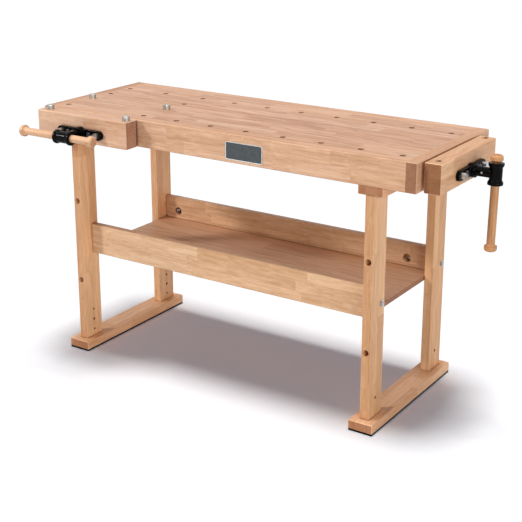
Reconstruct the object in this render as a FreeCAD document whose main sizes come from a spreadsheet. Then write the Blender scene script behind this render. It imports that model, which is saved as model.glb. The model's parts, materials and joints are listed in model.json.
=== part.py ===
import FreeCAD, Part
import os
import re
import Sketcher

# Woodworking bench with a front vise and an end vise.
# Millimetres and degrees. +X runs to the right along the bench, +Y from its front to its
# back, +Z up. The origin is on the floor, midway between the two leg frames.

doc = FreeCAD.newDocument("workbench")
sheet = doc.addObject("Spreadsheet::Sheet", "sizes")

SIZES = (
    # bench top
    ("bench_height", 860, "floor to working face"),
    ("top_length", 1400, "bench top with both end caps"),
    ("top_depth", 502, "bench top from front to back"),
    ("apron_height", 90, "edge height of the top"),
    ("apron_thickness", 37.5, "front and back apron"),
    ("slab_thickness", 40, "slab between the aprons"),
    ("end_cap_thickness", 35, "board across each end of the top"),
    ("edge_break", 2, "chamfer along wooden edges"),
    # leg frames
    ("left_overhang", 127.5, "left end of the top to the middle of the left leg frame"),
    ("right_overhang", 144.5, "middle of the right leg frame to the right end of the top"),
    ("foot_overhang", 24, "feet past the front and the back of the top"),
    ("foot_width", 82, "feet and top rails, across the bench"),
    ("foot_thickness", 28, "foot board"),
    ("rail_inset", 1, "top rails inside the front and the back of the top"),
    ("rail_thickness", 27, "top rail board"),
    ("sole_thickness", 7, "rubber sole"),
    ("sole_inset", 1, "sole inside the outline of its foot"),
    ("post_thickness", 31, "post, along the bench"),
    ("post_depth", 82, "post, front to back"),
    ("post_inset", 1, "posts inside the front and the back of the top"),
    ("peg_height_low", 254, "lower peg hole of the front posts above the floor"),
    ("peg_height_high", 541, "upper peg hole of the front posts above the floor"),
    ("peg_hole", 20, "diameter of the peg holes"),
    ("pin_height", 96.5, "middle pin hole of each post above the floor"),
    ("pin_pitch", 38, "pin holes above each other"),
    ("pin_hole", 8, "diameter of the blind pin holes"),
    ("through_pin_hole", 10, "diameter of the middle pin hole, which goes right through"),
    ("pin_depth", 20, "depth of the blind pin holes"),
    # stretchers and shelf
    ("stretcher_height", 105, "stretcher board on edge"),
    ("stretcher_thickness", 24, "stretcher, front to back"),
    ("stretcher_underside", 344, "floor to the underside of the stretchers"),
    ("stretcher_setback", 20, "stretcher behind the middle of its posts"),
    ("shelf_thickness", 16, "shelf board"),
    ("shelf_rise", 7.4, "lip of the stretcher below the shelf groove"),
    ("groove_depth", 8, "groove that holds the shelf"),
    ("board_clearance", 0.3, "shelf board to groove and posts"),
    # dog holes
    ("dog_hole", 19, "diameter of the dog holes"),
    ("dog_span", 327, "between the two dog holes of a jaw, and between the rows"),
    ("dog_columns", 8, "dog holes in each long row"),
    ("column_inset", 58, "left end of the top to the first dog holes"),
    ("last_column_inset", 73.5, "last dog holes to the right end of the top"),
    ("row_inset", 57.5, "front of the top to the front row"),
    ("dog_row", 121, "front row to the row of the bench's own dogs"),
    ("middle_row", 219.5, "front row to the row between the dogs and the back row"),
    ("dog_head", 25, "diameter of a dog's head"),
    ("dog_head_height", 15, "dog's head above the working face"),
    ("dog_shank_length", 60, "dog's shank below the working face"),
    ("dog_flat", 9.8, "dog's axis to the flat on its head"),
    ("dog_bevel", 1.5, "bevel of a dog's head and tip"),
    # vise jaws
    ("jaw_length", 381, "wooden jaw"),
    ("jaw_thickness", 53, "wooden jaw, across its faces"),
    ("jaw_hole_inset", 34, "left end of a jaw to its first dog hole"),
    ("front_gap", 5.3, "front jaw open at rest"),
    ("end_gap", 10.3, "end jaw open at rest"),
    ("axis_drop", 56, "working face to the axis of the vise screws"),
    ("vise_opening", 190, "further travel of each jaw"),
    # vise ironwork
    ("screw_diameter", 24, "vise screw"),
    ("rod_diameter", 20, "guide rods"),
    ("rod_spacing", 150, "middle of one guide rod to middle of the other"),
    ("rod_stub", 13, "guide rod in front of the flange"),
    ("wood_ease", 2, "ease around screw and rods in the wood"),
    ("running_clearance", 0.1, "shafts and handles in their bores, on the radius"),
    ("rest_gap", 0.3, "faces that meet but move past each other"),
    ("flange_length", 191, "oval flange on the jaw"),
    ("flange_height", 31, "oval flange"),
    ("flange_thickness", 11, "oval flange"),
    ("flange_bolt_spacing", 89, "between the two bolts of a flange"),
    ("collar_boss_diameter", 42, "boss around the screw"),
    ("collar_boss_length", 11, "boss around the screw"),
    ("collar_diameter", 34, "retaining collar behind the flange"),
    ("collar_width", 10, "retaining collar"),
    ("collar_recess", 40, "diameter of the collar's recess in the jaw"),
    ("hub_reach", 81.5, "jaw face to the middle of the hub"),
    ("hub_length", 65, "cross tube that takes the handle"),
    ("hub_diameter", 38, "cross tube"),
    ("hub_rim_diameter", 46, "flared rims of the cross tube"),
    ("hub_rim_width", 7.5, "flared rims of the cross tube"),
    ("hub_flare", 6.5, "slope from the rim to the tube"),
    ("neck_diameter", 30, "neck from the cross tube to the boss"),
    ("hub_pin", 6, "diameter of the pin through neck and screw"),
    ("screw_wall", 3, "metal between screw end and handle bore"),
    ("nut_width", 185, "nut casting behind the apron"),
    ("nut_plate_width", 231, "mounting plate of the nut casting"),
    ("nut_height", 31, "nut casting"),
    ("nut_length", 42, "nut casting with its plate"),
    ("nut_plate", 10, "mounting plate of the nut casting"),
    ("nut_screw_spacing", 209, "between the two columns of plate screws"),
    ("nut_screw_rise", 9, "plate screws above and below the axis"),
    # handles
    ("handle_diameter", 25, "wooden handle bars"),
    ("knob_diameter", 38, "handle knobs"),
    ("knob_length", 24, "handle knobs"),
    ("knob_socket", 16, "depth of the bar in each knob"),
    ("knob_round", 6.5, "rounding of the knobs"),
    ("front_handle_length", 313, "front handle with its knobs"),
    ("end_handle_length", 289, "end handle with its knobs"),
    ("front_handle_slid", 30.5, "front handle slid to the left of its hub"),
    ("end_handle_lean", 2, "lean of the end handle from upright, in degrees"),
    # fasteners
    ("bolt_diameter", 8, "stretcher bolts and lag screws"),
    ("bolt_head", 13, "across the flats of bolt heads and nuts"),
    ("bolt_head_height", 5.3, "bolt heads"),
    ("nut_thickness", 6.5, "nuts of the stretcher bolts"),
    ("bolt_tail", 3, "bolt past its nut"),
    ("bolt_ease", 0.5, "ease around bolts in the wood, on the radius"),
    ("washer_diameter", 22, "washers under the stretcher bolts"),
    ("washer_thickness", 2, "washers under the stretcher bolts"),
    ("left_pocket", 58, "left end of a stretcher to its nut pocket"),
    ("right_pocket", 88, "right end of a stretcher to its nut pocket"),
    ("pocket_diameter", 29, "nut pocket in a stretcher"),
    ("pocket_depth", 20, "nut pocket in a stretcher"),
    ("lag_length", 68, "lag screws from the rails into the aprons"),
    ("lag_offset", 28, "lag screw outside the middle of its rail"),
    ("jaw_bolt_diameter", 10, "bolts of the flanges"),
    ("jaw_bolt_head", 16, "across the flats of the flange bolts"),
    ("jaw_bolt_head_height", 6.5, "heads of the flange bolts"),
    ("jaw_bolt_length", 50, "bolts of the flanges"),
    ("frame_screw_diameter", 6, "screws that hold the posts"),
    ("frame_screw_head", 12, "diameter of the frame screws' heads"),
    ("frame_screw_head_height", 5, "frame screws' heads"),
    ("frame_screw_length", 70, "frame screws under the head"),
    ("frame_screw_spread", 25, "frame screws from the middle of their post"),
    ("nut_screw_diameter", 5, "screws of the nut castings"),
    ("nut_screw_head", 9, "diameter of their heads"),
    ("nut_screw_head_height", 3.5, "their heads"),
    ("nut_screw_length", 35, "screws of the nut castings under the head"),
    ("thread_ease", 0.05, "ease around wood screws in their pilot holes, on the radius"),
    # name plate
    ("plate_width", 136, "blank metal plate"),
    ("plate_height", 57.5, "blank metal plate"),
    ("plate_thickness", 2, "blank metal plate"),
    ("plate_rim", 4, "raised border of the plate"),
    ("plate_field", 0.6, "depth of the plate's field"),
    ("plate_corner", 6, "corner radius of the plate"),
    ("plate_middle", 119, "middle of the plate, right of the middle of the top"),
    ("plate_drop", 51.5, "working face to the middle of the plate"),
)

# Places and lengths that follow from the sizes above.
PLACES = {
    "frame_spacing": "top_length - left_overhang - right_overhang",
    "top_offset": "(right_overhang - left_overhang) / 2",
    "foot_length": "top_depth + 2 * foot_overhang",
    "rail_length": "top_depth - 2 * rail_inset",
    "post_spacing": "top_depth - 2 * post_inset - post_depth",
    "foot_top": "sole_thickness + foot_thickness",
    "rail_top": "bench_height - apron_height",
    "rail_underside": "rail_top - rail_thickness",
    "post_length": "rail_underside - foot_top",
    "top_left": "top_offset - top_length / 2",
    "top_right": "top_offset + top_length / 2",
    "top_front": "0 - top_depth / 2",
    "slab_left": "top_left + end_cap_thickness",
    "slab_front": "top_front + apron_thickness",
    "slab_length": "top_length - 2 * end_cap_thickness",
    "slab_depth": "top_depth - 2 * apron_thickness",
    "first_column": "top_left + column_inset",
    "long_row": "top_length - column_inset - dog_span - last_column_inset",
    "front_row": "top_front + row_inset",
    "axis_height": "bench_height - axis_drop",
    "axis_in_apron": "apron_height - axis_drop",
    "front_axis_x": "first_column - jaw_hole_inset + jaw_length / 2",
    "end_axis_y": "front_row - jaw_hole_inset + jaw_length / 2",
    "stretcher_length": "frame_spacing - post_thickness",
    "stretcher_bolt_height": "stretcher_underside + stretcher_height / 2",
    "bolt_depth_in_post": "post_depth / 2 + stretcher_setback",
    "shelf_depth": "post_spacing - stretcher_thickness + 2 * (groove_depth - board_clearance)",
    "nut_corner": "bolt_head / sqrt(3)",
    "nut_seat": "sqrt(pocket_diameter ^ 2 / 4 - nut_corner ^ 2)",
    "lag_line": "top_depth / 2 - apron_thickness / 2",
    "handle_bore": "handle_diameter / 2 + running_clearance",
    "jaw_height": "apron_height - rest_gap",
    "screw_start": "handle_bore + screw_wall",
    "pin_y": "(screw_start + neck_end) / 2",
    "neck_end": "hub_reach - flange_thickness - collar_boss_length - rest_gap",
    "end_handle_slid": "end_handle_length / 2 - knob_length - hub_length / 2 - rest_gap",
}

PARTS = []


def fill_sheet():
    """Write each driving size as a plain number with its alias."""
    for row, (alias, number, meaning) in enumerate(SIZES, start=1):
        sheet.set("A%d" % row, alias)
        sheet.set("B%d" % row, str(number))
        sheet.set("C%d" % row, meaning)
        sheet.setAlias("B%d" % row, alias)
    doc.recompute()


ALIASES = {alias for alias, number, meaning in SIZES}


def formula(text):
    """Turn the plain names in a text into references to the sheet."""

    def name(match):
        word = match.group(0)
        if word in PLACES:
            return "(" + formula(PLACES[word]) + ")"
        if word in ALIASES:
            return "sizes." + word
        return word

    return re.sub(r"[A-Za-z_]+", name, text)


def bind(item, prop, text):
    item.setExpression(prop, formula(text))


def place(item, x, y, z):
    for axis, text in zip("xyz", (x, y, z)):
        bind(item, "Placement.Base." + axis, text)


def turn(item, rotation):
    item.Placement = FreeCAD.Placement(FreeCAD.Vector(0, 0, 0), rotation)


def rotation_about(x, y, z, degrees):
    return FreeCAD.Rotation(FreeCAD.Vector(x, y, z), degrees)


def register(item, label):
    item.Label = label
    PARTS.append(item)
    return item


# ---------------------------------------------------------------- sketches and features

# Each drilling direction: the sketch's plane, and whether a pocket has to be reversed to
# run from that plane towards the positive end of the axis.
PLANES = {"X": ("YZ_Plane", True), "Y": ("XZ_Plane", False), "Z": ("XY_Plane", True)}


def new_body(label):
    return register(doc.addObject("PartDesign::Body", label), label)


def sketch_across(body, axis, at="0"):
    """A sketch square to an axis of the body, at a distance along that axis."""
    sketch = body.newObject("Sketcher::SketchObject", body.Name + "_sketch")
    role = PLANES[axis][0]
    plane = [item for item in body.Origin.OriginFeatures if item.Role == role][0]
    sketch.AttachmentSupport = [(plane, "")]
    sketch.MapMode = "FlatFace"
    sign = "0 - " if axis == "Y" else ""
    bind(sketch, "AttachmentOffset.Base.z", sign + "(" + at + ")")
    return sketch


def fix_point(sketch, geometry, point, x, y):
    """Hold a point of the sketch at its distances from the origin."""
    for kind, text in (("DistanceX", x), ("DistanceY", y)):
        number = sketch.addConstraint(Sketcher.Constraint(kind, -1, 1, geometry, point, 1.0))
        bind(sketch, "Constraints[%d]" % number, text)


def add_circle(sketch, x, y, radius):
    ring = sketch.addGeometry(Part.Circle(FreeCAD.Vector(1, 1, 0), FreeCAD.Vector(0, 0, 1), 1))
    fix_point(sketch, ring, 3, x, y)
    number = sketch.addConstraint(Sketcher.Constraint("Radius", ring, 1.0))
    bind(sketch, "Constraints[%d]" % number, radius)


def add_outline(sketch, points):
    """A closed outline through points, each given by two formulas."""
    count = len(points)
    corners = [FreeCAD.Vector(1 + index, (index * index) % 7, 0) for index in range(count)]
    for index in range(count):
        sketch.addGeometry(Part.LineSegment(corners[index], corners[(index + 1) % count]))
    for index in range(count):
        following = (index + 1) % count
        sketch.addConstraint(Sketcher.Constraint("Coincident", index, 2, following, 1))
    for index, (x, y) in enumerate(points):
        fix_point(sketch, index, 1, x, y)


def add_rectangle(sketch, x, y, width, height):
    right = x + " + " + width
    upper = y + " + " + height
    add_outline(sketch, ((x, y), (right, y), (right, upper), (x, upper)))


def pad(body, sketch, length, reverse=False):
    feature = body.newObject("PartDesign::Pad", body.Name + "_pad")
    feature.Profile = sketch
    feature.Reversed = reverse
    bind(feature, "Length", length)
    sketch.Visibility = False
    return feature


def pocket(body, sketch, depth, reverse):
    """A cut from the sketch, to a depth or, with none, right through."""
    feature = body.newObject("PartDesign::Pocket", body.Name + "_pocket")
    feature.Profile = sketch
    feature.Reversed = reverse
    if depth is None:
        feature.Type = "ThroughAll"
    else:
        bind(feature, "Length", depth)
    return feature


def drill(body, axis, places, radius, depth=None, at="0", backwards=False):
    """Round holes along an axis, from the plane at a distance along that axis."""
    sketch = sketch_across(body, axis, at)
    for x, y in places:
        add_circle(sketch, x, y, radius)
    return pocket(body, sketch, depth, PLANES[axis][1] != backwards)


def revolve(body, points, axis):
    """A solid of revolution about the horizontal or vertical axis of its sketch."""
    sketch = sketch_across(body, "Z" if axis == "X" else "Y")
    add_outline(sketch, points)
    feature = body.newObject("PartDesign::Revolution", body.Name + "_turned")
    feature.Profile = sketch
    feature.ReferenceAxis = (sketch, ["H_Axis" if axis == "X" else "V_Axis"])
    feature.Angle = 360
    return feature


def edges_on(shape, sides):
    """Names of the straight edges that lie on two outer sides, such as '+z' and '-y'."""
    box = shape.BoundBox
    limits = {
        "-x": ("x", box.XMin), "+x": ("x", box.XMax),
        "-y": ("y", box.YMin), "+y": ("y", box.YMax),
        "-z": ("z", box.ZMin), "+z": ("z", box.ZMax),
    }
    names = []
    for number, edge in enumerate(shape.Edges, start=1):
        ends = [vertex.Point for vertex in edge.Vertexes]
        wanted = [limits[side] for side in sides]
        if len(ends) == 2 and all(
            abs(getattr(end, axis) - limit) < 1e-5 for end in ends for axis, limit in wanted
        ):
            names.append("Edge%d" % number)
    return names


def soften(body, sides, size="edge_break", kind="PartDesign::Chamfer", prop="Size"):
    """Chamfer or round the edges that lie on each pair of outer sides."""
    doc.recompute()
    base = body.Tip
    names = [name for pair in sides for name in edges_on(base.Shape, pair)]
    feature = body.newObject(kind, body.Name + "_edges")
    feature.Base = (base, names)
    bind(feature, prop, size)
    return feature


def board(label, length, depth, height):
    """A board with one corner at its origin."""
    body = new_body(label)
    sketch = sketch_across(body, "Z")
    add_rectangle(sketch, "0", "0", length, depth)
    pad(body, sketch, height)
    return body


# ------------------------------------------------------------------------- part shapes

def cylinder(name, radius, height):
    """A cylinder that stands on its own origin."""
    item = doc.addObject("Part::Cylinder", name)
    bind(item, "Radius", radius)
    bind(item, "Height", height)
    return item


def hexagon(name, across, height):
    """A six-sided prism that stands on its own origin."""
    item = doc.addObject("Part::Prism", name)
    item.Polygon = 6
    bind(item, "Circumradius", across + " / sqrt(3)")
    bind(item, "Height", height)
    return item


def fused(name, *shapes):
    item = doc.addObject("Part::MultiFuse", name)
    item.Shapes = list(shapes)
    return item


def cut(name, base, tool):
    item = doc.addObject("Part::Cut", name)
    item.Base = base
    item.Tool = tool
    return item


def group(label, pieces):
    """One node that holds several separate solids."""
    item = doc.addObject("Part::Compound", label)
    item.Links = pieces
    return register(item, label)


def fastener(name, head, diameter, length):
    """A head that stands on the origin, with its shank below."""
    shank = cylinder(name + "_shank", diameter + " / 2", length)
    place(shank, "0", "0", "0 - " + length)
    return fused(name, head, shank)


def hex_bolt(name, across, head_height, diameter, length):
    head = hexagon(name + "_head", across, head_height)
    return fastener(name, head, diameter, length)


def cap_screw(name, head_diameter, head_height, diameter, length):
    head = cylinder(name + "_head", head_diameter + " / 2", head_height)
    return fastener(name, head, diameter, length)


def ring(name, outer, inner, height):
    """A flat ring that stands on its own origin."""
    return cut(
        name,
        cylinder(name + "_outside", outer + " / 2", height),
        cylinder(name + "_inside", inner + " / 2", height),
    )


# --------------------------------------------------------------------------- leg frames

SIDES = (("left", "0 - "), ("right", ""))
ROWS = (("front", "0 - "), ("back", ""))
ALONG_EDGES = (("+z", "-y"), ("+z", "+y"), ("+z", "-x"), ("+z", "+x"))


def frame_x(sign):
    return "(" + sign + "frame_spacing / 2)"


def row_y(sign):
    return "(" + sign + "post_spacing / 2)"


def frame_screw_places(length):
    """Screws of one leg frame, in the plane of its foot or rail."""
    places = []
    for row, sign in ROWS:
        for spread in (" - ", " + "):
            y = length + " / 2 + " + row_y(sign) + spread + "frame_screw_spread"
            places.append(("foot_width / 2", y))
    return places


def make_foot(side, sign):
    foot = board(side + "_foot", "foot_width", "foot_length", "foot_thickness")
    screws = frame_screw_places("foot_length")
    drill(foot, "Z", screws, "frame_screw_diameter / 2 + bolt_ease")
    recess = "frame_screw_head / 2 + bolt_ease"
    drill(foot, "Z", screws, recess, "frame_screw_head_height + rest_gap")
    soften(foot, ALONG_EDGES + (("-x", "-y"), ("+x", "-y"), ("-x", "+y"), ("+x", "+y")))
    place(foot, frame_x(sign) + " - foot_width / 2", "0 - foot_length / 2", "sole_thickness")


def make_sole(side, sign):
    width = "foot_width - 2 * sole_inset"
    length = "foot_length - 2 * sole_inset"
    sole = board(side + "_sole", width, length, "sole_thickness")
    place(
        sole,
        frame_x(sign) + " - foot_width / 2 + sole_inset",
        "sole_inset - foot_length / 2",
        "0",
    )


def make_rail(side, sign):
    """The board across the tops of two posts, which carries the aprons."""
    rail = board(side + "_top_rail", "foot_width", "rail_length", "rail_thickness")
    screws = frame_screw_places("rail_length")
    drill(rail, "Z", screws, "frame_screw_diameter / 2 + bolt_ease")
    depth = "frame_screw_head_height + rest_gap"
    recess = "frame_screw_head / 2 + bolt_ease"
    drill(rail, "Z", screws, recess, depth, "rail_thickness", backwards=True)
    lag_x = "foot_width / 2 + (" + sign + "lag_offset)"
    lags = [(lag_x, "rail_length / 2 + (" + row_sign + "lag_line)") for row, row_sign in ROWS]
    drill(rail, "Z", lags, "bolt_diameter / 2 + bolt_ease")
    soften(rail, (("-z", "-y"), ("-z", "+y"), ("-x", "-y"), ("+x", "-y")))
    place(rail, frame_x(sign) + " - foot_width / 2", "0 - rail_length / 2", "rail_underside")


def make_post(side, sign, row, row_sign):
    post = board(side + "_" + row + "_post", "post_thickness", "post_depth", "post_length")
    bolt = ("bolt_depth_in_post", "stretcher_bolt_height - foot_top")
    drill(post, "X", [bolt], "bolt_diameter / 2 + bolt_ease")
    if row == "front":
        pegs = [("post_thickness / 2", height + " - foot_top")
                for height in ("peg_height_low", "peg_height_high")]
        drill(post, "Y", pegs, "peg_hole / 2")
    drill(post, "X", [("post_depth / 2", "pin_height - foot_top")], "through_pin_hole / 2")
    blind = [("post_depth / 2", "pin_height - foot_top" + step + "pin_pitch")
             for step in (" - ", " + ")]
    if side == "left":
        drill(post, "X", blind, "pin_hole / 2", "pin_depth", "post_thickness", backwards=True)
    else:
        drill(post, "X", blind, "pin_hole / 2", "pin_depth")
    screws = [("post_thickness / 2", "post_depth / 2" + spread + "frame_screw_spread")
              for spread in (" - ", " + ")]
    pilot = "frame_screw_diameter / 2 + thread_ease"
    seat_depth = "frame_screw_head_height + rest_gap"
    bottom_depth = "frame_screw_length - foot_thickness + " + seat_depth
    top_depth = "frame_screw_length - rail_thickness + " + seat_depth
    drill(post, "Z", screws, pilot, bottom_depth)
    drill(post, "Z", screws, pilot, top_depth, "post_length", backwards=True)
    soften(post, (("-x", "-y"), ("+x", "-y"), ("-x", "+y"), ("+x", "+y")))
    place(
        post,
        frame_x(sign) + " - post_thickness / 2",
        row_y(row_sign) + " - post_depth / 2",
        "foot_top",
    )


def make_frame_screws(label, head_z, rotation):
    """Screws through the feet or the rails into the posts' ends."""
    screws = []
    for side, sign in SIDES:
        for row, row_sign in ROWS:
            for spread in (" - ", " + "):
                screw = cap_screw(
                    label + "_piece",
                    "frame_screw_head",
                    "frame_screw_head_height",
                    "frame_screw_diameter",
                    "frame_screw_length",
                )
                turn(screw, rotation)
                place(screw, frame_x(sign), row_y(row_sign) + spread + "frame_screw_spread", head_z)
                screws.append(screw)
    group(label, screws)


def make_lag_screws():
    """Hex lag screws up through the rails into the aprons."""
    lags = []
    for side, sign in SIDES:
        for row, row_sign in ROWS:
            lag = hex_bolt(
                "lag_screw", "bolt_head", "bolt_head_height", "bolt_diameter", "lag_length"
            )
            turn(lag, rotation_about(1, 0, 0, 180))
            place(lag, frame_x(sign) + " + (" + sign + "lag_offset)",
                  row_sign + "lag_line", "rail_underside")
            lags.append(lag)
    group("top_lag_screws", lags)


# ----------------------------------------------------------------- stretchers and shelf

def make_stretcher(row, row_sign):
    stretcher = board(
        row + "_stretcher", "stretcher_length", "stretcher_thickness", "stretcher_height"
    )
    inner_face_is_far = row == "front"
    bore = "bolt_diameter / 2 + bolt_ease"
    middle = [("stretcher_thickness / 2", "stretcher_height / 2")]
    drill(stretcher, "X", middle, bore, "left_pocket")
    drill(stretcher, "X", middle, bore, "right_pocket", "stretcher_length", backwards=True)
    pockets = [(x, "stretcher_height / 2")
               for x in ("left_pocket", "stretcher_length - right_pocket")]
    face = "stretcher_thickness" if inner_face_is_far else "0"
    drill(stretcher, "Y", pockets, "pocket_diameter / 2", "pocket_depth", face,
          backwards=inner_face_is_far)
    groove = sketch_across(stretcher, "X")
    groove_y = "stretcher_thickness - groove_depth" if inner_face_is_far else "0"
    add_rectangle(groove, groove_y, "shelf_rise", "groove_depth",
                  "shelf_thickness + board_clearance")
    pocket(stretcher, groove, None, PLANES["X"][1])
    outer = "-y" if inner_face_is_far else "+y"
    soften(stretcher, (("+z", "-y"), ("+z", "+y"), ("-z", outer)))
    place(
        stretcher,
        "0 - stretcher_length / 2",
        row_y(row_sign) + " + stretcher_setback - stretcher_thickness / 2",
        "stretcher_underside",
    )


def make_shelf():
    length = "stretcher_length - 2 * board_clearance"
    shelf = board("shelf_board", length, "shelf_depth", "shelf_thickness")
    place(
        shelf,
        "board_clearance - stretcher_length / 2",
        "stretcher_setback - shelf_depth / 2",
        "stretcher_underside + shelf_rise",
    )


def make_stretcher_fasteners():
    """A hex bolt through each post, with a washer outside and a nut in the pocket."""
    bolts, washers, nuts = [], [], []
    for side, sign in SIDES:
        setback = side + "_pocket"
        outwards = rotation_about(0, 1, 0, -90 if side == "left" else 90)
        post_face = sign + "(frame_spacing / 2 + post_thickness / 2)"
        under_head = sign + "(frame_spacing / 2 + post_thickness / 2 + washer_thickness)"
        nut_outside = sign + "(stretcher_length / 2 - " + setback + " + nut_seat - nut_thickness)"
        for row, row_sign in ROWS:
            y = row_y(row_sign) + " + stretcher_setback"
            length = ("washer_thickness + post_thickness + " + setback
                      + " - nut_seat + nut_thickness + bolt_tail")
            bolt = hex_bolt(
                "stretcher_bolt", "bolt_head", "bolt_head_height", "bolt_diameter",
                "(" + length + ")",
            )
            turn(bolt, outwards)
            place(bolt, under_head, y, "stretcher_bolt_height")
            bolts.append(bolt)
            washer = ring("stretcher_washer", "washer_diameter", "bolt_diameter", "washer_thickness")
            turn(washer, outwards)
            place(washer, post_face, y, "stretcher_bolt_height")
            washers.append(washer)
            nut = cut(
                "stretcher_nut",
                hexagon("stretcher_nut_body", "bolt_head", "nut_thickness"),
                cylinder("stretcher_nut_bore", "bolt_diameter / 2", "nut_thickness"),
            )
            turn(nut, outwards)
            place(nut, nut_outside, y, "stretcher_bolt_height")
            nuts.append(nut)
    group("stretcher_bolts", bolts)
    group("stretcher_washers", washers)
    group("stretcher_nuts", nuts)


# ---------------------------------------------------------------------------- bench top

ROD_XS = ("0 - rod_spacing / 2", "rod_spacing / 2")


def nut_screw_places():
    """Screws of a nut casting, around the vise's axis."""
    places = []
    for x in ("0 - nut_screw_spacing / 2", "nut_screw_spacing / 2"):
        for z in ("0 - nut_screw_rise", "nut_screw_rise"):
            places.append((x, z))
    return places


def shifted(places, x, z):
    return [(x + " + " + first, z + " + " + second) for first, second in places]


def bore_for_vise(body, axis, across, outer_face, inner_face):
    """Holes for screw, rods and plate screws through an apron or an end cap."""
    height = "axis_in_apron"
    drill(body, axis, [(across, height)], "screw_diameter / 2 + wood_ease")
    rods = shifted([(x, "0") for x in ROD_XS], across, height)
    drill(body, axis, rods, "rod_diameter / 2 + wood_ease")
    pilots = shifted(nut_screw_places(), across, height)
    depth = "nut_screw_length - nut_plate"
    radius = "nut_screw_diameter / 2 + thread_ease"
    drill(body, axis, pilots, radius, depth, inner_face, backwards=outer_face == "0")


def make_slab():
    slab = board("top_slab", "slab_length", "slab_depth", "slab_thickness")
    first = "column_inset - end_cap_thickness"
    front = "row_inset - apron_thickness"
    second = first + " + dog_span"
    back = front + " + dog_span"
    row_pair = [(second, front), (second, back)]
    holes = drill(slab, "Z", row_pair, "dog_hole / 2")
    rows = slab.newObject("PartDesign::LinearPattern", "long_rows")
    rows.Originals = [holes]
    rows.Direction = (holes.Profile[0], ["H_Axis"])
    bind(rows, "Length", "long_row")
    bind(rows, "Occurrences", "dog_columns")
    slab.Tip = rows
    across = [(column, front + " + " + row) for column in (first, second)
              for row in ("dog_row", "middle_row")]
    across += [(first, front), (first, back)]
    across.append((first + " + dog_span / 2", back))
    drill(slab, "Z", across, "dog_hole / 2")
    place(slab, "slab_left", "slab_front", "bench_height - slab_thickness")


def make_apron(row):
    apron = board(row + "_apron", "slab_length", "apron_thickness", "apron_height")
    if row == "front":
        bore_for_vise(apron, "Y", "front_axis_x - slab_left", "0", "apron_thickness")
    lags = [("(" + frame_x(sign) + " + (" + sign + "lag_offset)) - slab_left",
             "apron_thickness / 2") for side, sign in SIDES]
    pilot = "bolt_diameter / 2 + thread_ease"
    drill(apron, "Z", lags, pilot, "lag_length - rail_thickness + rest_gap")
    face = "-y" if row == "front" else "+y"
    soften(apron, (("+z", face), ("-z", face)))
    y = "top_front" if row == "front" else "slab_front + slab_depth"
    place(apron, "slab_left", y, "rail_top")


def make_end_cap(side):
    cap = board(side + "_end_cap", "end_cap_thickness", "top_depth", "apron_height")
    if side == "right":
        bore_for_vise(cap, "X", "end_axis_y - top_front", "end_cap_thickness", "0")
    face = "-x" if side == "left" else "+x"
    soften(cap, (("+z", face), ("-z", face), (face, "-y"), (face, "+y"),
                 ("+z", "-y"), ("+z", "+y"), ("-z", "-y"), ("-z", "+y")))
    x = "top_left" if side == "left" else "slab_left + slab_length"
    place(cap, x, "top_front", "rail_top")


def make_name_plate():
    """A blank plate with a raised border, on the front apron."""
    plate = new_body("name_plate")
    outline = sketch_across(plate, "Y")
    add_rectangle(outline, "0", "0", "plate_width", "plate_height")
    pad(plate, outline, "plate_thickness")
    soften(plate, (("-x", "-z"), ("+x", "-z"), ("-x", "+z"), ("+x", "+z")),
           "plate_corner", "PartDesign::Fillet", "Radius")
    field = sketch_across(plate, "Y", "0 - plate_thickness")
    add_rectangle(field, "plate_rim", "plate_rim", "plate_width - 2 * plate_rim",
                  "plate_height - 2 * plate_rim")
    pocket(plate, field, "plate_field", PLANES["Y"][1])
    place(
        plate,
        "top_offset + plate_middle - plate_width / 2",
        "top_front",
        "bench_height - plate_drop - plate_height / 2",
    )


# --------------------------------------------------------------------------------- dogs

def make_dog(number, x, y, faces_back):
    """A round bench dog that hangs by its head in a dog hole."""
    dog = new_body("dog_%d" % number)
    shank = "dog_hole / 2 - running_clearance"
    revolve(
        dog,
        (
            ("0", "0 - dog_shank_length"),
            (shank + " - dog_bevel", "0 - dog_shank_length"),
            (shank, "dog_bevel - dog_shank_length"),
            (shank, "0"),
            ("dog_head / 2", "0"),
            ("dog_head / 2", "dog_head_height - dog_bevel"),
            ("dog_head / 2 - dog_bevel", "dog_head_height"),
            ("0", "dog_head_height"),
        ),
        "Z",
    )
    flat = sketch_across(dog, "Z")
    add_rectangle(flat, "0 - dog_head", "dog_flat", "2 * dog_head", "dog_head")
    pocket(dog, flat, None, PLANES["Z"][1])
    turn(dog, rotation_about(0, 0, 1, 0 if faces_back else 180))
    place(dog, x, y, "bench_height")


# -------------------------------------------------------------------------------- vises

class Vise:
    """One vise: where its axis leaves the bench, and how far its pieces are turned.

    In the vise's own frame the screw runs along Y, the jaw lies towards -Y and the origin
    is on the face of the bench.
    """

    def __init__(self, name, corner, wall, about_z, slid, hub_turn, handle_ends):
        self.name = name
        self.corner = corner
        self.wall = wall
        self.about_z = about_z
        self.slid = slid
        self.hub_turn = hub_turn
        self.handle_ends = handle_ends
        self.jaw_face = "(" + name + "_gap + jaw_thickness)"

    def node(self, piece):
        return self.name + "_" + piece

    def seat(self, item):
        """Put a piece that is drawn in the vise's frame in its place."""
        turn(item, rotation_about(0, 0, 1, self.about_z))
        place(item, *self.corner)

    def seat_on_hub(self, item):
        """Put a piece that is drawn around the middle of the hub in its place."""
        x, y, z = self.corner
        reach = " - (" + self.jaw_face + " + hub_reach)"
        about_axis = rotation_about(0, 1, 0, self.hub_turn)
        turn(item, rotation_about(0, 0, 1, self.about_z).multiply(about_axis))
        if self.about_z == 0:
            place(item, x, y + reach, z)
        else:
            place(item, x + reach.replace(" - ", " + ", 1), y, z)


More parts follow.
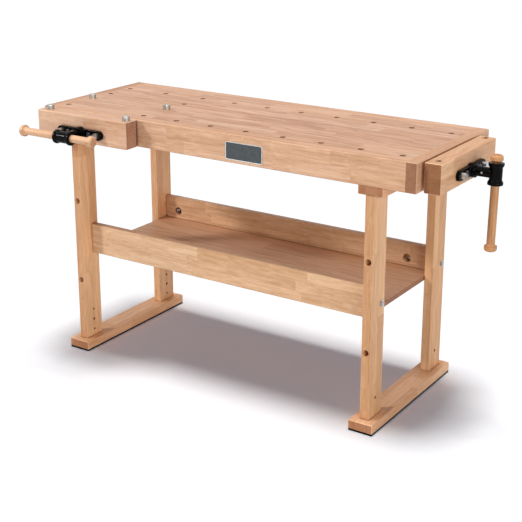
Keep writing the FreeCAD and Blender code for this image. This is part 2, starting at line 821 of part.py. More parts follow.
def make_jaw(vise):
    """The wooden jaw, with holes for ironwork and dogs."""
    jaw = new_body(vise.node("jaw"))
    underside = "axis_drop - jaw_height"
    outer_face = "0 - " + vise.jaw_face
    block = sketch_across(jaw, "Z", underside)
    add_rectangle(block, "0 - jaw_length / 2", outer_face, "jaw_length", "jaw_thickness")
    pad(jaw, block, "jaw_height")
    drill(jaw, "Y", [("0", "0")], "screw_diameter / 2 + wood_ease", backwards=True)
    rods = [(x, "0") for x in ROD_XS]
    drill(jaw, "Y", rods, "rod_diameter / 2 + board_clearance", backwards=True)
    recess = "collar_width + 2 * rest_gap"
    drill(jaw, "Y", [("0", "0")], "collar_recess / 2", recess, outer_face)
    bolts = [(x, "0") for x in ("0 - flange_bolt_spacing / 2", "flange_bolt_spacing / 2")]
    pilot = "jaw_bolt_diameter / 2 + thread_ease"
    pilot_depth = "jaw_bolt_length - flange_thickness + rest_gap"
    drill(jaw, "Y", bolts, pilot, pilot_depth, outer_face)
    first = "jaw_hole_inset - jaw_length / 2"
    middle = "0 - (" + vise.name + "_gap + jaw_thickness / 2)"
    dogs = [(first, middle), (first + " + dog_span", middle)]
    drill(jaw, "Z", dogs, "dog_hole / 2", at=underside)
    soften(jaw, (("+z", "-y"), ("-z", "-y"), ("-x", "-y"), ("+x", "-y"), ("-x", "+z"),
                 ("+x", "+z"), ("-x", "-z"), ("+x", "-z"), ("-x", "+y"), ("+x", "+y"),
                 ("+z", "+y"), ("-z", "+y")))
    vise.seat(jaw)


def along_y(item, x, y):
    """Lay a cylinder down so that it runs from y towards -Y."""
    turn(item, rotation_about(1, 0, 0, 90))
    place(item, x, y, "0")
    return item


def make_flange(vise):
    """The oval iron flange that holds the guide rods, with a boss for the screw."""
    name = vise.node("flange")
    jaw_face = "0 - " + vise.jaw_face
    straight = "(flange_length - flange_height)"
    plate = doc.addObject("Part::Box", name + "_plate")
    bind(plate, "Length", straight)
    bind(plate, "Width", "flange_thickness")
    bind(plate, "Height", "flange_height")
    place(plate, "0 - " + straight + " / 2", jaw_face + " - flange_thickness",
          "0 - flange_height / 2")
    solids = [plate]
    for sign in ("0 - ", ""):
        lobe = cylinder(name + "_lobe", "flange_height / 2", "flange_thickness")
        solids.append(along_y(lobe, sign + straight + " / 2", jaw_face))
    collar = cylinder(name + "_collar_boss", "collar_boss_diameter / 2",
                      "flange_thickness + collar_boss_length")
    solids.append(along_y(collar, "0", jaw_face))
    through = "flange_thickness + collar_boss_length"
    bores = [along_y(cylinder(name + "_screw_bore", "screw_diameter / 2 + running_clearance",
                              through), "0", jaw_face)]
    for sign in ("0 - ", ""):
        rod = cylinder(name + "_rod_bore", "rod_diameter / 2", through)
        bores.append(along_y(rod, sign + "rod_spacing / 2", jaw_face))
        bolt = cylinder(name + "_bolt_bore", "jaw_bolt_diameter / 2 + bolt_ease", through)
        bores.append(along_y(bolt, sign + "flange_bolt_spacing / 2", jaw_face))
    casting = fused(name + "_casting", *solids)
    flange = cut(name, casting, fused(name + "_bores", *bores))
    register(flange, name)
    vise.seat(flange)


def make_flange_bolts(vise):
    bolts = []
    for sign in ("0 - ", ""):
        bolt = hex_bolt(vise.node("flange_bolt"), "jaw_bolt_head", "jaw_bolt_head_height",
                        "jaw_bolt_diameter", "jaw_bolt_length")
        along_y(bolt, sign + "flange_bolt_spacing / 2",
                "0 - " + vise.jaw_face + " - flange_thickness")
        bolts.append(bolt)
    vise.seat(group(vise.node("flange_bolts"), bolts))


def make_guide_rods(vise):
    """Two steel rods, fixed in the flange, that run in the nut casting."""
    inside = "(" + vise.wall + " + nut_length + vise_opening)"
    outside = "(" + vise.jaw_face + " + flange_thickness + rod_stub)"
    rods = []
    for x in ROD_XS:
        rod = cylinder(vise.node("guide_rod"), "rod_diameter / 2", inside + " + " + outside)
        rods.append(along_y(rod, x, inside))
    vise.seat(group(vise.node("guide_rods"), rods))


def make_nut(vise):
    """The casting behind the apron that holds the screw's nut and guides the rods."""
    nut = new_body(vise.node("nut"))
    for width, length in (("nut_plate_width", "nut_plate"), ("nut_width", "nut_length")):
        outline = sketch_across(nut, "Y", vise.wall)
        add_rectangle(outline, "0 - " + width + " / 2", "0 - nut_height / 2",
                      width, "nut_height")
        pad(nut, outline, length, reverse=True)
    drill(nut, "Y", [("0", "0")], "screw_diameter / 2 + running_clearance")
    rods = [(x, "0") for x in ROD_XS]
    drill(nut, "Y", rods, "rod_diameter / 2 + running_clearance")
    drill(nut, "Y", nut_screw_places(), "nut_screw_diameter / 2 + bolt_ease")
    soften(nut, (("+y", "-x"), ("+y", "+x"), ("+y", "-z"), ("+y", "+z")))
    vise.seat(nut)


def make_nut_screws(vise):
    screws = []
    for x, z in nut_screw_places():
        screw = cap_screw(vise.node("nut_screw"), "nut_screw_head", "nut_screw_head_height",
                          "nut_screw_diameter", "nut_screw_length")
        turn(screw, rotation_about(1, 0, 0, -90))
        place(screw, x, vise.wall + " + nut_plate", z)
        screws.append(screw)
    vise.seat(group(vise.node("nut_screws"), screws))


def make_hub(vise):
    """The cross tube with flared rims and the neck that is pinned to the screw."""
    hub = new_body(vise.node("hub"))
    half = "hub_length / 2"
    rim = "hub_rim_diameter / 2"
    tube = "hub_diameter / 2"
    revolve(
        hub,
        (
            ("0 - " + half, "0"),
            ("0 - " + half, rim),
            ("hub_rim_width - " + half, rim),
            ("hub_rim_width + hub_flare - " + half, tube),
            (half + " - hub_rim_width - hub_flare", tube),
            (half + " - hub_rim_width", rim),
            (half, rim),
            (half, "0"),
        ),
        "X",
    )
    neck = sketch_across(hub, "Y")
    add_circle(neck, "0", "0", "neck_diameter / 2")
    pad(hub, neck, "neck_end", reverse=True)
    bar = sketch_across(hub, "X", "0 - hub_length / 2")
    add_circle(bar, "0", "0", "handle_bore")
    pocket(hub, bar, None, PLANES["X"][1])
    drill(hub, "Y", [("0", "0")], "screw_diameter / 2", "neck_end - screw_start", "neck_end",
          backwards=True)
    drill(hub, "Z", [("0", "pin_y")], "hub_pin / 2", at="0 - neck_diameter / 2")
    vise.seat_on_hub(hub)


def make_screw(vise):
    screw = new_body(vise.node("screw"))
    shaft = sketch_across(screw, "Y", "screw_start")
    add_circle(shaft, "0", "0", "screw_diameter / 2")
    inside = " + ".join(("hub_reach", vise.jaw_face, vise.wall, "nut_length", "vise_opening"))
    pad(screw, shaft, inside + " - screw_start", reverse=True)
    drill(screw, "Z", [("0", "pin_y")], "hub_pin / 2", at="0 - screw_diameter / 2")
    soften_end(screw)
    vise.seat_on_hub(screw)


def soften_end(screw):
    """Chamfer the far end of a screw."""
    doc.recompute()
    base = screw.Tip
    far = base.Shape.BoundBox.YMax
    names = ["Edge%d" % number for number, edge in enumerate(base.Shape.Edges, start=1)
             if all(abs(vertex.Point.y - far) < 1e-5 for vertex in edge.Vertexes)]
    feature = screw.newObject("PartDesign::Chamfer", screw.Name + "_end")
    feature.Base = (base, names)
    bind(feature, "Size", "edge_break")


def make_hub_pin(vise):
    pin = cylinder(vise.node("hub_pin_rod"), "hub_pin / 2", "neck_diameter")
    place(pin, "0", "pin_y", "0 - neck_diameter / 2")
    vise.seat_on_hub(group(vise.node("hub_pin"), [pin]))


def make_collar(vise):
    """The ring on the screw that pulls the jaw back out."""
    collar = ring(vise.node("collar_ring"), "collar_diameter", "screw_diameter", "collar_width")
    along_y(collar, "0", "hub_reach + rest_gap + collar_width")
    vise.seat_on_hub(group(vise.node("collar"), [collar]))


def make_handle(vise):
    """The wooden bar and its two knobs, slid along the hub."""
    length = vise.name + "_handle_length"
    middle = "(0 - " + vise.slid + ")"
    left = "(" + middle + " - " + length + " / 2)"
    right = "(" + middle + " + " + length + " / 2)"
    wall = "(knob_length - knob_socket)"
    bar = new_body(vise.node("handle_bar"))
    disc = sketch_across(bar, "X", left + " + " + wall)
    add_circle(disc, "0", "0", "handle_diameter / 2")
    pad(bar, disc, length + " - 2 * " + wall)
    vise.seat_on_hub(bar)
    for end, outer, inward in zip(vise.handle_ends, (left, right), (" + ", " - ")):
        far = outer == right
        knob = new_body(vise.node(end + "_knob"))
        disc = sketch_across(knob, "X", outer)
        add_circle(disc, "0", "0", "knob_diameter / 2")
        pad(knob, disc, "knob_length", reverse=far)
        round_knob(knob)
        drill(knob, "X", [("0", "0")], "handle_diameter / 2", "knob_socket",
              outer + inward + "knob_length", backwards=not far)
        vise.seat_on_hub(knob)


def round_knob(knob):
    """Round both outer edges of a knob."""
    doc.recompute()
    base = knob.Tip
    names = ["Edge%d" % number for number, edge in enumerate(base.Shape.Edges, start=1)
             if len(edge.Vertexes) == 1]
    feature = knob.newObject("PartDesign::Fillet", knob.Name + "_round")
    feature.Base = (base, names)
    bind(feature, "Radius", "knob_round")


FRONT_CORNER = ("front_axis_x", "top_front", "axis_height")
END_CORNER = ("top_right", "end_axis_y", "axis_height")


def make_vise(vise):
    make_jaw(vise)
    make_flange(vise)
    make_flange_bolts(vise)
    make_guide_rods(vise)
    make_nut(vise)
    make_nut_screws(vise)
    make_hub(vise)
    make_screw(vise)
    make_hub_pin(vise)
    make_collar(vise)
    make_handle(vise)


# ----------------------------------------------------------------------------- assembly

def make_bench():
    make_slab()
    make_name_plate()
    for row, row_sign in ROWS:
        make_apron(row)
        make_stretcher(row, row_sign)
    for side, sign in SIDES:
        make_end_cap(side)
        make_foot(side, sign)
        make_sole(side, sign)
        make_rail(side, sign)
        for row, row_sign in ROWS:
            make_post(side, sign, row, row_sign)
    make_shelf()
    make_stretcher_fasteners()
    seat = "frame_screw_head_height"
    upside_down = rotation_about(1, 0, 0, 180)
    make_frame_screws("foot_screws", "sole_thickness + " + seat + " + rest_gap", upside_down)
    make_frame_screws("rail_screws", "rail_top - " + seat + " - rest_gap",
                      rotation_about(1, 0, 0, 0))
    make_lag_screws()


def make_dogs():
    jaw_y = "top_front - front_gap - jaw_thickness / 2"
    bench_y = "front_row + dog_row"
    columns = ("first_column", "first_column + dog_span")
    for number, x in zip((1, 3), columns):
        make_dog(number, x, jaw_y, True)
    for number, x in zip((2, 4), columns):
        make_dog(number, x, bench_y, False)


def check_and_export():
    """Refuse a failed object, a cut that removes nothing and an unsound solid."""
    for item in doc.Objects:
        if "Invalid" in item.State or "Error" in item.State:
            raise RuntimeError("failed: " + item.Label)
        if item.TypeId == "PartDesign::Pocket":
            before = item.BaseFeature.Shape.Volume
            if item.Shape.Volume > before - 1e-6:
                raise RuntimeError("cuts nothing: " + item.Label)
    os.makedirs("parts", exist_ok=True)
    for part in PARTS:
        shape = part.Shape
        if shape.isNull() or not shape.isValid():
            raise RuntimeError("unsound: " + part.Label)
        shape.exportStep("parts/" + part.Label + ".step")


fill_sheet()
make_bench()
make_dogs()
make_vise(Vise("front", FRONT_CORNER, "apron_thickness", 0, "front_handle_slid",
               0, ("left", "right")))
make_vise(Vise("end", END_CORNER, "end_cap_thickness", 90, "end_handle_slid",
               sheet.end_handle_lean - 90, ("lower", "upper")))
doc.recompute()
check_and_export()
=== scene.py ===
import json
import math

import bmesh
import bpy
from mathutils import Matrix, Vector

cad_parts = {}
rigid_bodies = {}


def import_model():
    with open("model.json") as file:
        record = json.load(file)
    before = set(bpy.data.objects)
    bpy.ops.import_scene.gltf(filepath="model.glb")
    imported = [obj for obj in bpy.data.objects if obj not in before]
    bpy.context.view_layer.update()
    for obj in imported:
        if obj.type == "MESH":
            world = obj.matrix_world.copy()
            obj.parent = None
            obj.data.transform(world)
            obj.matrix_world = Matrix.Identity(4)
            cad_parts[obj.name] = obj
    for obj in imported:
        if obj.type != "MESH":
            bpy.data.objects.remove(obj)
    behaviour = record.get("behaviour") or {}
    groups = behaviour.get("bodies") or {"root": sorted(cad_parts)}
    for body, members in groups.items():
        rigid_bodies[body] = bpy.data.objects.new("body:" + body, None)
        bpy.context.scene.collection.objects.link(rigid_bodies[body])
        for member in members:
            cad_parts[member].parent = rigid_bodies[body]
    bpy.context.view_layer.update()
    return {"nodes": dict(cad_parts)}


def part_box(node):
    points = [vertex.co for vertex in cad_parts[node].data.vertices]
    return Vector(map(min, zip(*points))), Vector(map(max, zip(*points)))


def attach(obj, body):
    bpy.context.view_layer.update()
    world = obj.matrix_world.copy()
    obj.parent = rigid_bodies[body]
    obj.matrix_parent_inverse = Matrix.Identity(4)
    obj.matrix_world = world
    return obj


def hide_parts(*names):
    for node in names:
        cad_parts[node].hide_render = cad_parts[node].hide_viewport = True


# Woodworking bench with a front vise and an end vise: finishes, ironwork, floor and light.
# Metres, in the frame of the bench: +X to the right, +Y to the back, +Z up.

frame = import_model()
nodes = frame["nodes"]
scene = bpy.context.scene


# ------------------------------------------------------------------ node tree helpers

class Tree:
    """Adds nodes to a node tree and feeds their inputs with values or other sockets."""

    def __init__(self, tree):
        self.tree = tree

    def feed(self, socket, value):
        if isinstance(value, bpy.types.NodeSocket):
            self.tree.links.new(value, socket)
        elif value is not None:
            socket.default_value = value

    def add(self, kind, feeds=None, **settings):
        node = self.tree.nodes.new(kind)
        for name, value in settings.items():
            setattr(node, name, value)
        for key, value in (feeds or {}).items():
            self.feed(node.inputs[key], value)
        return node

    def math(self, operation, first, second=None, clamp=False):
        node = self.add("ShaderNodeMath", {0: first, 1: second}, operation=operation)
        node.use_clamp = clamp
        return node.outputs[0]

    def scale(self, value, factor):
        return self.math("MULTIPLY", value, factor)

    def vector(self, operation, first, second=None, third=None):
        feeds = {0: first, 1: second, 2: third}
        node = self.add("ShaderNodeVectorMath", feeds, operation=operation)
        return node.outputs["Value" if operation == "LENGTH" else "Vector"]

    def split(self, vector):
        return self.add("ShaderNodeSeparateXYZ", {0: vector}).outputs

    def join(self, x, y, z):
        return self.add("ShaderNodeCombineXYZ", {0: x, 1: y, 2: z}).outputs[0]

    def noise(self, vector, scale, detail=2.0):
        feeds = {"Vector": vector, "Scale": scale, "Detail": detail}
        return self.add("ShaderNodeTexNoise", feeds).outputs["Fac"]

    def span(self, value, low, high, to_low=0.0, to_high=1.0):
        """Carry a value smoothly from one range to another."""
        feeds = {0: value, 1: low, 2: high, 3: to_low, 4: to_high}
        node = self.add("ShaderNodeMapRange", feeds, interpolation_type="SMOOTHSTEP")
        return node.outputs[0]

    def mix(self, factor, first, second, blend="MIX"):
        node = self.add("ShaderNodeMix", {0: factor, 6: first, 7: second}, data_type="RGBA")
        node.blend_type = blend
        return node.outputs[2]

    def tint(self, colour, amount, tone):
        """Multiply a tone into a colour by an amount from 0 to 1."""
        return self.mix(amount, colour, tone, "MULTIPLY")

    def drawn_noise(self, vector, scales, detail):
        """Noise drawn out by its own repeats per metre along, across and through the grain."""
        return self.noise(self.vector("MULTIPLY", vector, scales), 1.0, detail)


def new_group(name, kind, inputs, outputs):
    """A node group with named inputs (name, socket kind, value) and outputs (name, kind)."""
    tree = bpy.data.node_groups.new(name, kind)
    for label, socket_kind, value in inputs:
        socket = tree.interface.new_socket(label, in_out="INPUT", socket_type=socket_kind)
        if value is not None:
            socket.default_value = value
    for label, socket_kind in outputs:
        tree.interface.new_socket(label, in_out="OUTPUT", socket_type=socket_kind)
    graph = Tree(tree)
    given = graph.add("NodeGroupInput").outputs
    result = graph.add("NodeGroupOutput").inputs
    return graph, given, result


def rgb(red, green, blue):
    """A colour as it is seen, from 0 to 255, in the renderer's linear values."""
    def linear(value):
        value /= 255
        return value / 12.92 if value <= 0.04045 else ((value + 0.055) / 1.055) ** 2.4
    return (linear(red), linear(green), linear(blue), 1.0)


# --------------------------------------------------------------- shared shader groups

# What is multiplied into the wood's colour: warmer staves, ray flecks, glue, and painted shade
# in hollows and where pieces meet.
WARM_TONE = (1.0, 0.94, 0.84, 1)
FLECK_TONE = (0.74, 0.62, 0.52, 1)
GLUE_TONE = (0.55, 0.4, 0.3, 1)
PAINTED_SHADE_TONE = (0.3, 0.2, 0.14, 1)

# Painted highlight: the light colour that eased edges lean to, standing in for light caught on
# the chamfers.
PAINTED_EDGE_HIGHLIGHT = rgb(236, 204, 172)

# Metres: year rings apart, and the core and the outside of a glue line.
RING_PITCH = 0.0035
GLUE_CORE = 0.00015
GLUE_EDGE = 0.0006

# Staves of neighbouring rows start up to this many stave lengths apart, and each stave takes
# its figure from a place of its own within this many metres.
STAGGER = 7.3
FIGURE_SPREAD = (5.0, 5.0, 5.0)


def make_laminated_wood():
    """Beech glued up from staves. X is the grain; every stave has its own tone and figure."""
    graph, given, result = new_group(
        "laminated beech", "ShaderNodeTree",
        (("Position", "NodeSocketVector", None),
         ("Normal", "NodeSocketVector", None),
         ("Stave Size", "NodeSocketVector", (0.3, 0.042, 0.045)),
         ("Light", "NodeSocketColor", (0.7, 0.5, 0.3, 1)),
         ("Dark", "NodeSocketColor", (0.5, 0.3, 0.2, 1)),
         ("Stave Contrast", "NodeSocketFloat", 0.8),
         ("Figure", "NodeSocketFloat", 1.0),
         ("End Tone", "NodeSocketColor", (0.6, 0.46, 0.4, 1)),
         ("Openness", "NodeSocketFloat", 1.0)),
        (("Color", "NodeSocketColor"), ("Height", "NodeSocketFloat"),
         ("Roughness", "NodeSocketFloat")),
    )
    place = given["Position"]

    # Which stave a place is in, and what chance gives that stave.
    along, across, deep = graph.split(graph.vector("DIVIDE", place, given["Stave Size"]))
    row = graph.math("FLOOR", across)
    layer = graph.math("FLOOR", deep)
    shift = graph.add("ShaderNodeTexWhiteNoise", {0: graph.join(0.5, row, layer)}).outputs[0]
    staggered = graph.math("ADD", along, graph.scale(shift, STAGGER))
    stave = graph.join(graph.math("FLOOR", staggered), row, layer)
    tone, chances = graph.add("ShaderNodeTexWhiteNoise", {0: stave}).outputs
    own = graph.vector("ADD", place, graph.vector("MULTIPLY", chances, FIGURE_SPREAD))

    # Streaks that waver across the grain, fibres, and the short flecks of the wood's rays.
    waver = graph.scale(graph.drawn_noise(own, (7, 2, 2), 2.0), 0.05)
    waved = graph.vector("ADD", own, graph.join(0.0, waver, 0.0))
    broad = graph.drawn_noise(waved, (3.2, 60, 60), 2.0)
    narrow = graph.drawn_noise(waved, (11, 190, 190), 3.0)
    fibre = graph.drawn_noise(own, (14, 420, 420), 2.0)
    flecks = graph.span(graph.drawn_noise(own, (170, 1500, 1500), 0.0), 0.62, 0.72)

    # Year rings about a pith that lies somewhere outside the stave.
    bend = graph.scale(graph.noise(own, 5.0), 0.03)
    pith = graph.vector("MULTIPLY_ADD", chances, (0.0, 0.12, 0.12), (0.0, -0.02, -0.13))
    flat_place = graph.vector("MULTIPLY", graph.vector("ADD", place, pith), (0, 1, 1))
    radius = graph.math("ADD", graph.vector("LENGTH", flat_place), bend)
    ring = graph.math("SINE", graph.scale(radius, 2 * math.pi / RING_PITCH))

    # From light to dark: the stave's tone, its streaks, its fibres and a little of its rings.
    streaks = graph.math("SUBTRACT", graph.math("ADD", broad, narrow), 1.0)
    shade = graph.scale(graph.math("SUBTRACT", tone, 0.5), given["Stave Contrast"])
    shade = graph.math("ADD", shade, graph.scale(streaks, given["Figure"]))
    shade = graph.math("ADD", shade, graph.scale(graph.math("SUBTRACT", fibre, 0.5), 0.5))
    shade = graph.math("ADD", shade, graph.scale(ring, 0.035))
    shade = graph.math("ADD", shade, 0.5, clamp=True)
    colour = graph.mix(shade, given["Light"], given["Dark"])
    colour = graph.tint(colour, graph.scale(graph.split(chances)[1], 0.7), WARM_TONE)
    colour = graph.tint(colour, graph.scale(flecks, 0.5), FLECK_TONE)

    # Glue lines where a stave meets its neighbours across, in depth and along the grain.
    size = graph.split(given["Stave Size"])
    lines = []
    for value, length in ((across, size[1]), (deep, size[2]), (staggered, size[0])):
        half = graph.math("ABSOLUTE", graph.math("SUBTRACT", graph.math("FRACT", value), 0.5))
        gap = graph.scale(graph.math("SUBTRACT", 0.5, half), length)
        lines.append(graph.span(gap, GLUE_CORE, GLUE_EDGE, 1.0, 0.0))
    glue = graph.math("MAXIMUM", graph.math("MAXIMUM", lines[0], lines[1]), lines[2])
    colour = graph.tint(colour, graph.scale(glue, 0.45), GLUE_TONE)

    # End grain, then a painted highlight on the eased edges, then painted shade in holes,
    # corners and where pieces meet, where little light gets in.
    nx, ny, nz = graph.split(graph.vector("ABSOLUTE", given["Normal"]))
    end = graph.span(nx, 0.75, 0.95)
    rings = graph.span(ring, -1.0, 1.0, 0.82, 1.08)
    ringed = graph.vector("MULTIPLY", given["End Tone"], graph.join(rings, rings, rings))
    colour = graph.tint(colour, end, ringed)
    # Painted highlight: faces that lean off the axes, the eased edges, are mixed towards a
    # light colour.
    squareness = graph.math("MAXIMUM", graph.math("MAXIMUM", nx, ny), nz)
    colour = graph.mix(graph.span(squareness, 0.75, 0.97, 0.06, 0.0), colour, PAINTED_EDGE_HIGHLIGHT)
    # Painted shade: the less open a place is, the more of the dark hollow tone is multiplied
    # into its colour.
    painted_shade = graph.span(given["Openness"], 0.3, 0.8, 0.94, 0.0)
    graph.feed(result["Color"], graph.tint(colour, painted_shade, PAINTED_SHADE_TONE))

    relief = graph.math("SUBTRACT", fibre, graph.scale(flecks, 0.5))
    graph.feed(result["Height"], graph.math("SUBTRACT", relief, graph.scale(glue, 0.6)))
    rough = graph.math("ADD", graph.scale(fibre, 0.16), 0.40)
    graph.feed(result["Roughness"], graph.math("ADD", rough, graph.scale(end, 0.15)))
    return graph.tree


def make_cast_skin():
    """The skin of an iron casting under paint: coarse sand and slow waves."""
    graph, given, result = new_group(
        "cast skin", "ShaderNodeTree",
        (("Position", "NodeSocketVector", None),
         ("Grain", "NodeSocketFloat", 900.0),
         ("Paint", "NodeSocketColor", (0.01, 0.01, 0.01, 1)),
         ("Rubbed", "NodeSocketColor", (0.05, 0.05, 0.05, 1))),
        (("Color", "NodeSocketColor"), ("Height", "NodeSocketFloat"),
         ("Roughness", "NodeSocketFloat")),
    )
    sand = graph.noise(given["Position"], given["Grain"], 3.0)
    wave = graph.noise(given["Position"], 90.0, 2.0)
    rubbed = graph.span(wave, 0.56, 0.74)
    graph.feed(result["Color"], graph.mix(rubbed, given["Paint"], given["Rubbed"]))
    graph.feed(result["Height"], graph.math("ADD", graph.scale(sand, 0.4), wave))
    graph.feed(result["Roughness"], graph.math("ADD", graph.scale(sand, 0.12), 0.09))
    return graph.tree


def make_plated_skin():
    """Plated or bright steel: faint tool marks across the axis, and dull handled patches."""
    graph, given, result = new_group(
        "steel skin", "ShaderNodeTree",
        (("Position", "NodeSocketVector", None),
         ("Marks", "NodeSocketVector", (20, 20, 2600)),
         ("Steel", "NodeSocketColor", (0.6, 0.6, 0.6, 1)),
         ("Dull", "NodeSocketColor", (0.35, 0.34, 0.33, 1)),
         ("Roughness", "NodeSocketFloat", 0.3)),
        (("Color", "NodeSocketColor"), ("Height", "NodeSocketFloat"),
         ("Roughness", "NodeSocketFloat")),
    )
    marks = graph.drawn_noise(given["Position"], given["Marks"], 1.0)
    dull = graph.span(graph.noise(given["Position"], 130.0, 3.0), 0.45, 0.75)
    graph.feed(result["Color"], graph.mix(dull, given["Steel"], given["Dull"]))
    graph.feed(result["Height"], marks)
    spread = graph.math("ADD", graph.scale(dull, 0.12), graph.scale(marks, 0.08))
    graph.feed(result["Roughness"], graph.math("ADD", given["Roughness"], spread))
    return graph.tree


LAMINATED = make_laminated_wood()
CAST = make_cast_skin()
PLATED = make_plated_skin()


# --------------------------------------------------------------------------- materials

def new_material(name):
    """An empty material and the tree to build it in."""
    material = bpy.data.materials.new(name)
    material.use_nodes = True
    material.node_tree.nodes.clear()
    return material, Tree(material.node_tree)


def finish_material(graph, colour, roughness, height, strength, distance, **constants):
    """Close a material with its Principled shader; constants go on the shader itself."""
    bump = graph.add("ShaderNodeBump", {"Height": height, "Strength": strength,
                                        "Distance": distance})
    shader = graph.add("ShaderNodeBsdfPrincipled", {
        "Base Color": colour, "Roughness": roughness, "Normal": bump.outputs[0]})
    for name, value in constants.items():
        shader.inputs[name.replace("_", " ")].default_value = value
    output = graph.add("ShaderNodeOutputMaterial")
    graph.feed(output.inputs["Surface"], shader.outputs[0])


def finish_with_group(graph, group, feeds, strength, distance, **constants):
    """Close a material with the colour, roughness and height that a shared group makes."""
    skin = graph.add("ShaderNodeGroup", node_tree=group)
    for key, value in feeds.items():
        graph.feed(skin.inputs[key], value)
    finish_material(graph, skin.outputs["Color"], skin.outputs["Roughness"],
                    skin.outputs["Height"], strength, distance, **constants)


# The turn that brings the grain of a piece onto X.
GRAIN = {"x": (0, 0, 0), "y": (0, 0, -math.pi / 2), "z": (0, math.pi / 2, 0)}

# Metres within which a wall or a neighbouring piece darkens the wood's colour with painted
# shade, as in a hollow.
PAINTED_SHADE_REACH = 0.012


def wood(name, grain, light, dark, stave=(0.3, 0.042, 0.045), offset=(0, 0, 0),
         contrast=0.8, figure=1.0, end=(0.56, 0.44, 0.38, 1)):
    """A wood whose grain runs along x, y or z of the bench."""
    material, graph = new_material(name)
    coordinates = graph.add("ShaderNodeTexCoord").outputs
    place = graph.add("ShaderNodeMapping", {
        "Vector": coordinates["Object"], "Rotation": GRAIN[grain], "Location": offset})
    normal = graph.add("ShaderNodeMapping", {
        "Vector": coordinates["Normal"], "Rotation": GRAIN[grain]}, vector_type="VECTOR")
    # Painted shade: ambient occlusion within that reach darkens the wood's colour in holes, in
    # corners and where pieces touch.
    openness = graph.add("ShaderNodeAmbientOcclusion", {"Distance": PAINTED_SHADE_REACH}, samples=8)
    finish_with_group(
        graph, LAMINATED,
        {"Position": place.outputs[0], "Normal": normal.outputs[0],
         "Openness": openness.outputs["AO"], "Stave Size": stave, "Light": light,
         "Dark": dark, "Stave Contrast": contrast, "Figure": figure, "End Tone": end},
        strength=0.25, distance=0.0006, Specular_IOR_Level=0.35)
    return material


def casting(name, paint, rubbed):
    """Cast iron under a thin gloss enamel."""
    material, graph = new_material(name)
    place = graph.add("ShaderNodeTexCoord").outputs["Object"]
    finish_with_group(
        graph, CAST, {"Position": place, "Paint": paint, "Rubbed": rubbed},
        strength=0.2, distance=0.0005, Specular_IOR_Level=0.02, Coat_Weight=0.12,
        Coat_Roughness=0.05)
    return material


def steel(name, shine, dull, roughness, marks):
    """Bare or plated steel; the marks are repeats per metre along x, y and z."""
    material, graph = new_material(name)
    place = graph.add("ShaderNodeTexCoord").outputs["Object"]
    finish_with_group(
        graph, PLATED,
        {"Position": place, "Marks": marks, "Steel": shine, "Dull": dull,
         "Roughness": roughness},
        strength=0.15, distance=0.0003, Metallic=1.0)
    return material


def rubber(name):
    """Black rubber, dusty in places."""
    material, graph = new_material(name)
    place = graph.add("ShaderNodeTexCoord").outputs["Object"]
    grain = graph.noise(place, 1400.0, 2.0)
    dust = graph.span(graph.noise(place, 30.0, 4.0), 0.45, 0.8)
    colour = graph.mix(dust, rgb(7, 7, 7), rgb(17, 16, 16))
    roughness = graph.math("ADD", graph.scale(grain, 0.15), 0.7)
    finish_material(graph, colour, roughness, grain, strength=0.3, distance=0.0005,
                    Specular_IOR_Level=0.1)
    return material


def enamel(name):
    """Dark slate enamel with a faint cloudiness and orange peel."""
    material, graph = new_material(name)
    place = graph.add("ShaderNodeTexCoord").outputs["Object"]
    cloud = graph.noise(place, 90.0, 3.0)
    peel = graph.noise(place, 700.0, 1.0)
    colour = graph.mix(cloud, rgb(46, 52, 55), rgb(78, 84, 87))
    roughness = graph.math("ADD", graph.scale(cloud, 0.12), 0.3)
    finish_material(graph, colour, roughness, peel, strength=0.1, distance=0.0003)
    return material


# Staves as (length, width, depth) and offsets of the stave grid are in metres.
PLAIN_END = (0.85, 0.8, 0.76, 1)
TURNED_STAVE = (2, 0.2, 0.2)

bench_top = wood("beech bench top", "x", rgb(211, 170, 142), rgb(172, 125, 95),
                 offset=(0, 0.008, 0.02), contrast=0.65, figure=1.9)
apron_wood = wood("beech apron", "x", rgb(235, 194, 162), rgb(203, 155, 122),
                  offset=(0, 0.03, 0.04), contrast=0.45, figure=1.6)
cap_wood = wood("beech end cap", "y", rgb(222, 178, 144), rgb(186, 136, 100),
                offset=(0.1, 0, 0.04))
front_jaw_wood = wood("beech front jaw", "x", rgb(240, 202, 174), rgb(208, 163, 134),
                      offset=(0, 0.008, 0.04), contrast=0.6, figure=1.3)
end_jaw_wood = wood("beech end jaw", "y", rgb(242, 197, 156), rgb(208, 156, 116),
                    offset=(0, 0.01, 0.04), contrast=0.6, figure=1.3,
                    end=(0.42, 0.3, 0.22, 1))
post_wood = wood("beech posts", "z", rgb(244, 198, 154), rgb(212, 158, 112),
                 stave=(0.42, 0.041, 0.031), offset=(0, 0.004, 0.0155), contrast=0.5,
                 figure=1.3)
rail_wood = wood("beech feet and rails", "y", rgb(248, 202, 162), rgb(218, 162, 118),
                 contrast=0.5)
stretcher_wood = wood("beech stretchers", "x", rgb(240, 202, 166), rgb(208, 162, 122),
                      stave=(0.42, 0.05, 0.035), offset=(0, 0, 0.006), contrast=0.5,
                      figure=1.6)
shelf_wood = wood("shelf board", "x", rgb(228, 186, 154), rgb(196, 148, 114),
                  stave=(0.6, 0.09, 0.05), contrast=0.4, figure=1.6)
front_turned = wood("turned handle, front vise", "x", rgb(226, 180, 142), rgb(192, 140, 104),
                    stave=TURNED_STAVE, offset=(1, 0.01, 0.01), end=PLAIN_END)
end_turned = wood("turned handle, end vise", "z", rgb(228, 178, 130), rgb(194, 136, 88),
                  stave=TURNED_STAVE, offset=(0, 0.1, 0.06), end=PLAIN_END)
black_iron = casting("black enamelled iron", rgb(5, 5, 6), rgb(11, 12, 14))
dark_bolt = steel("blackened bolt steel", rgb(84, 84, 88), rgb(44, 44, 48),
                  roughness=0.3, marks=(9, 9, 9))
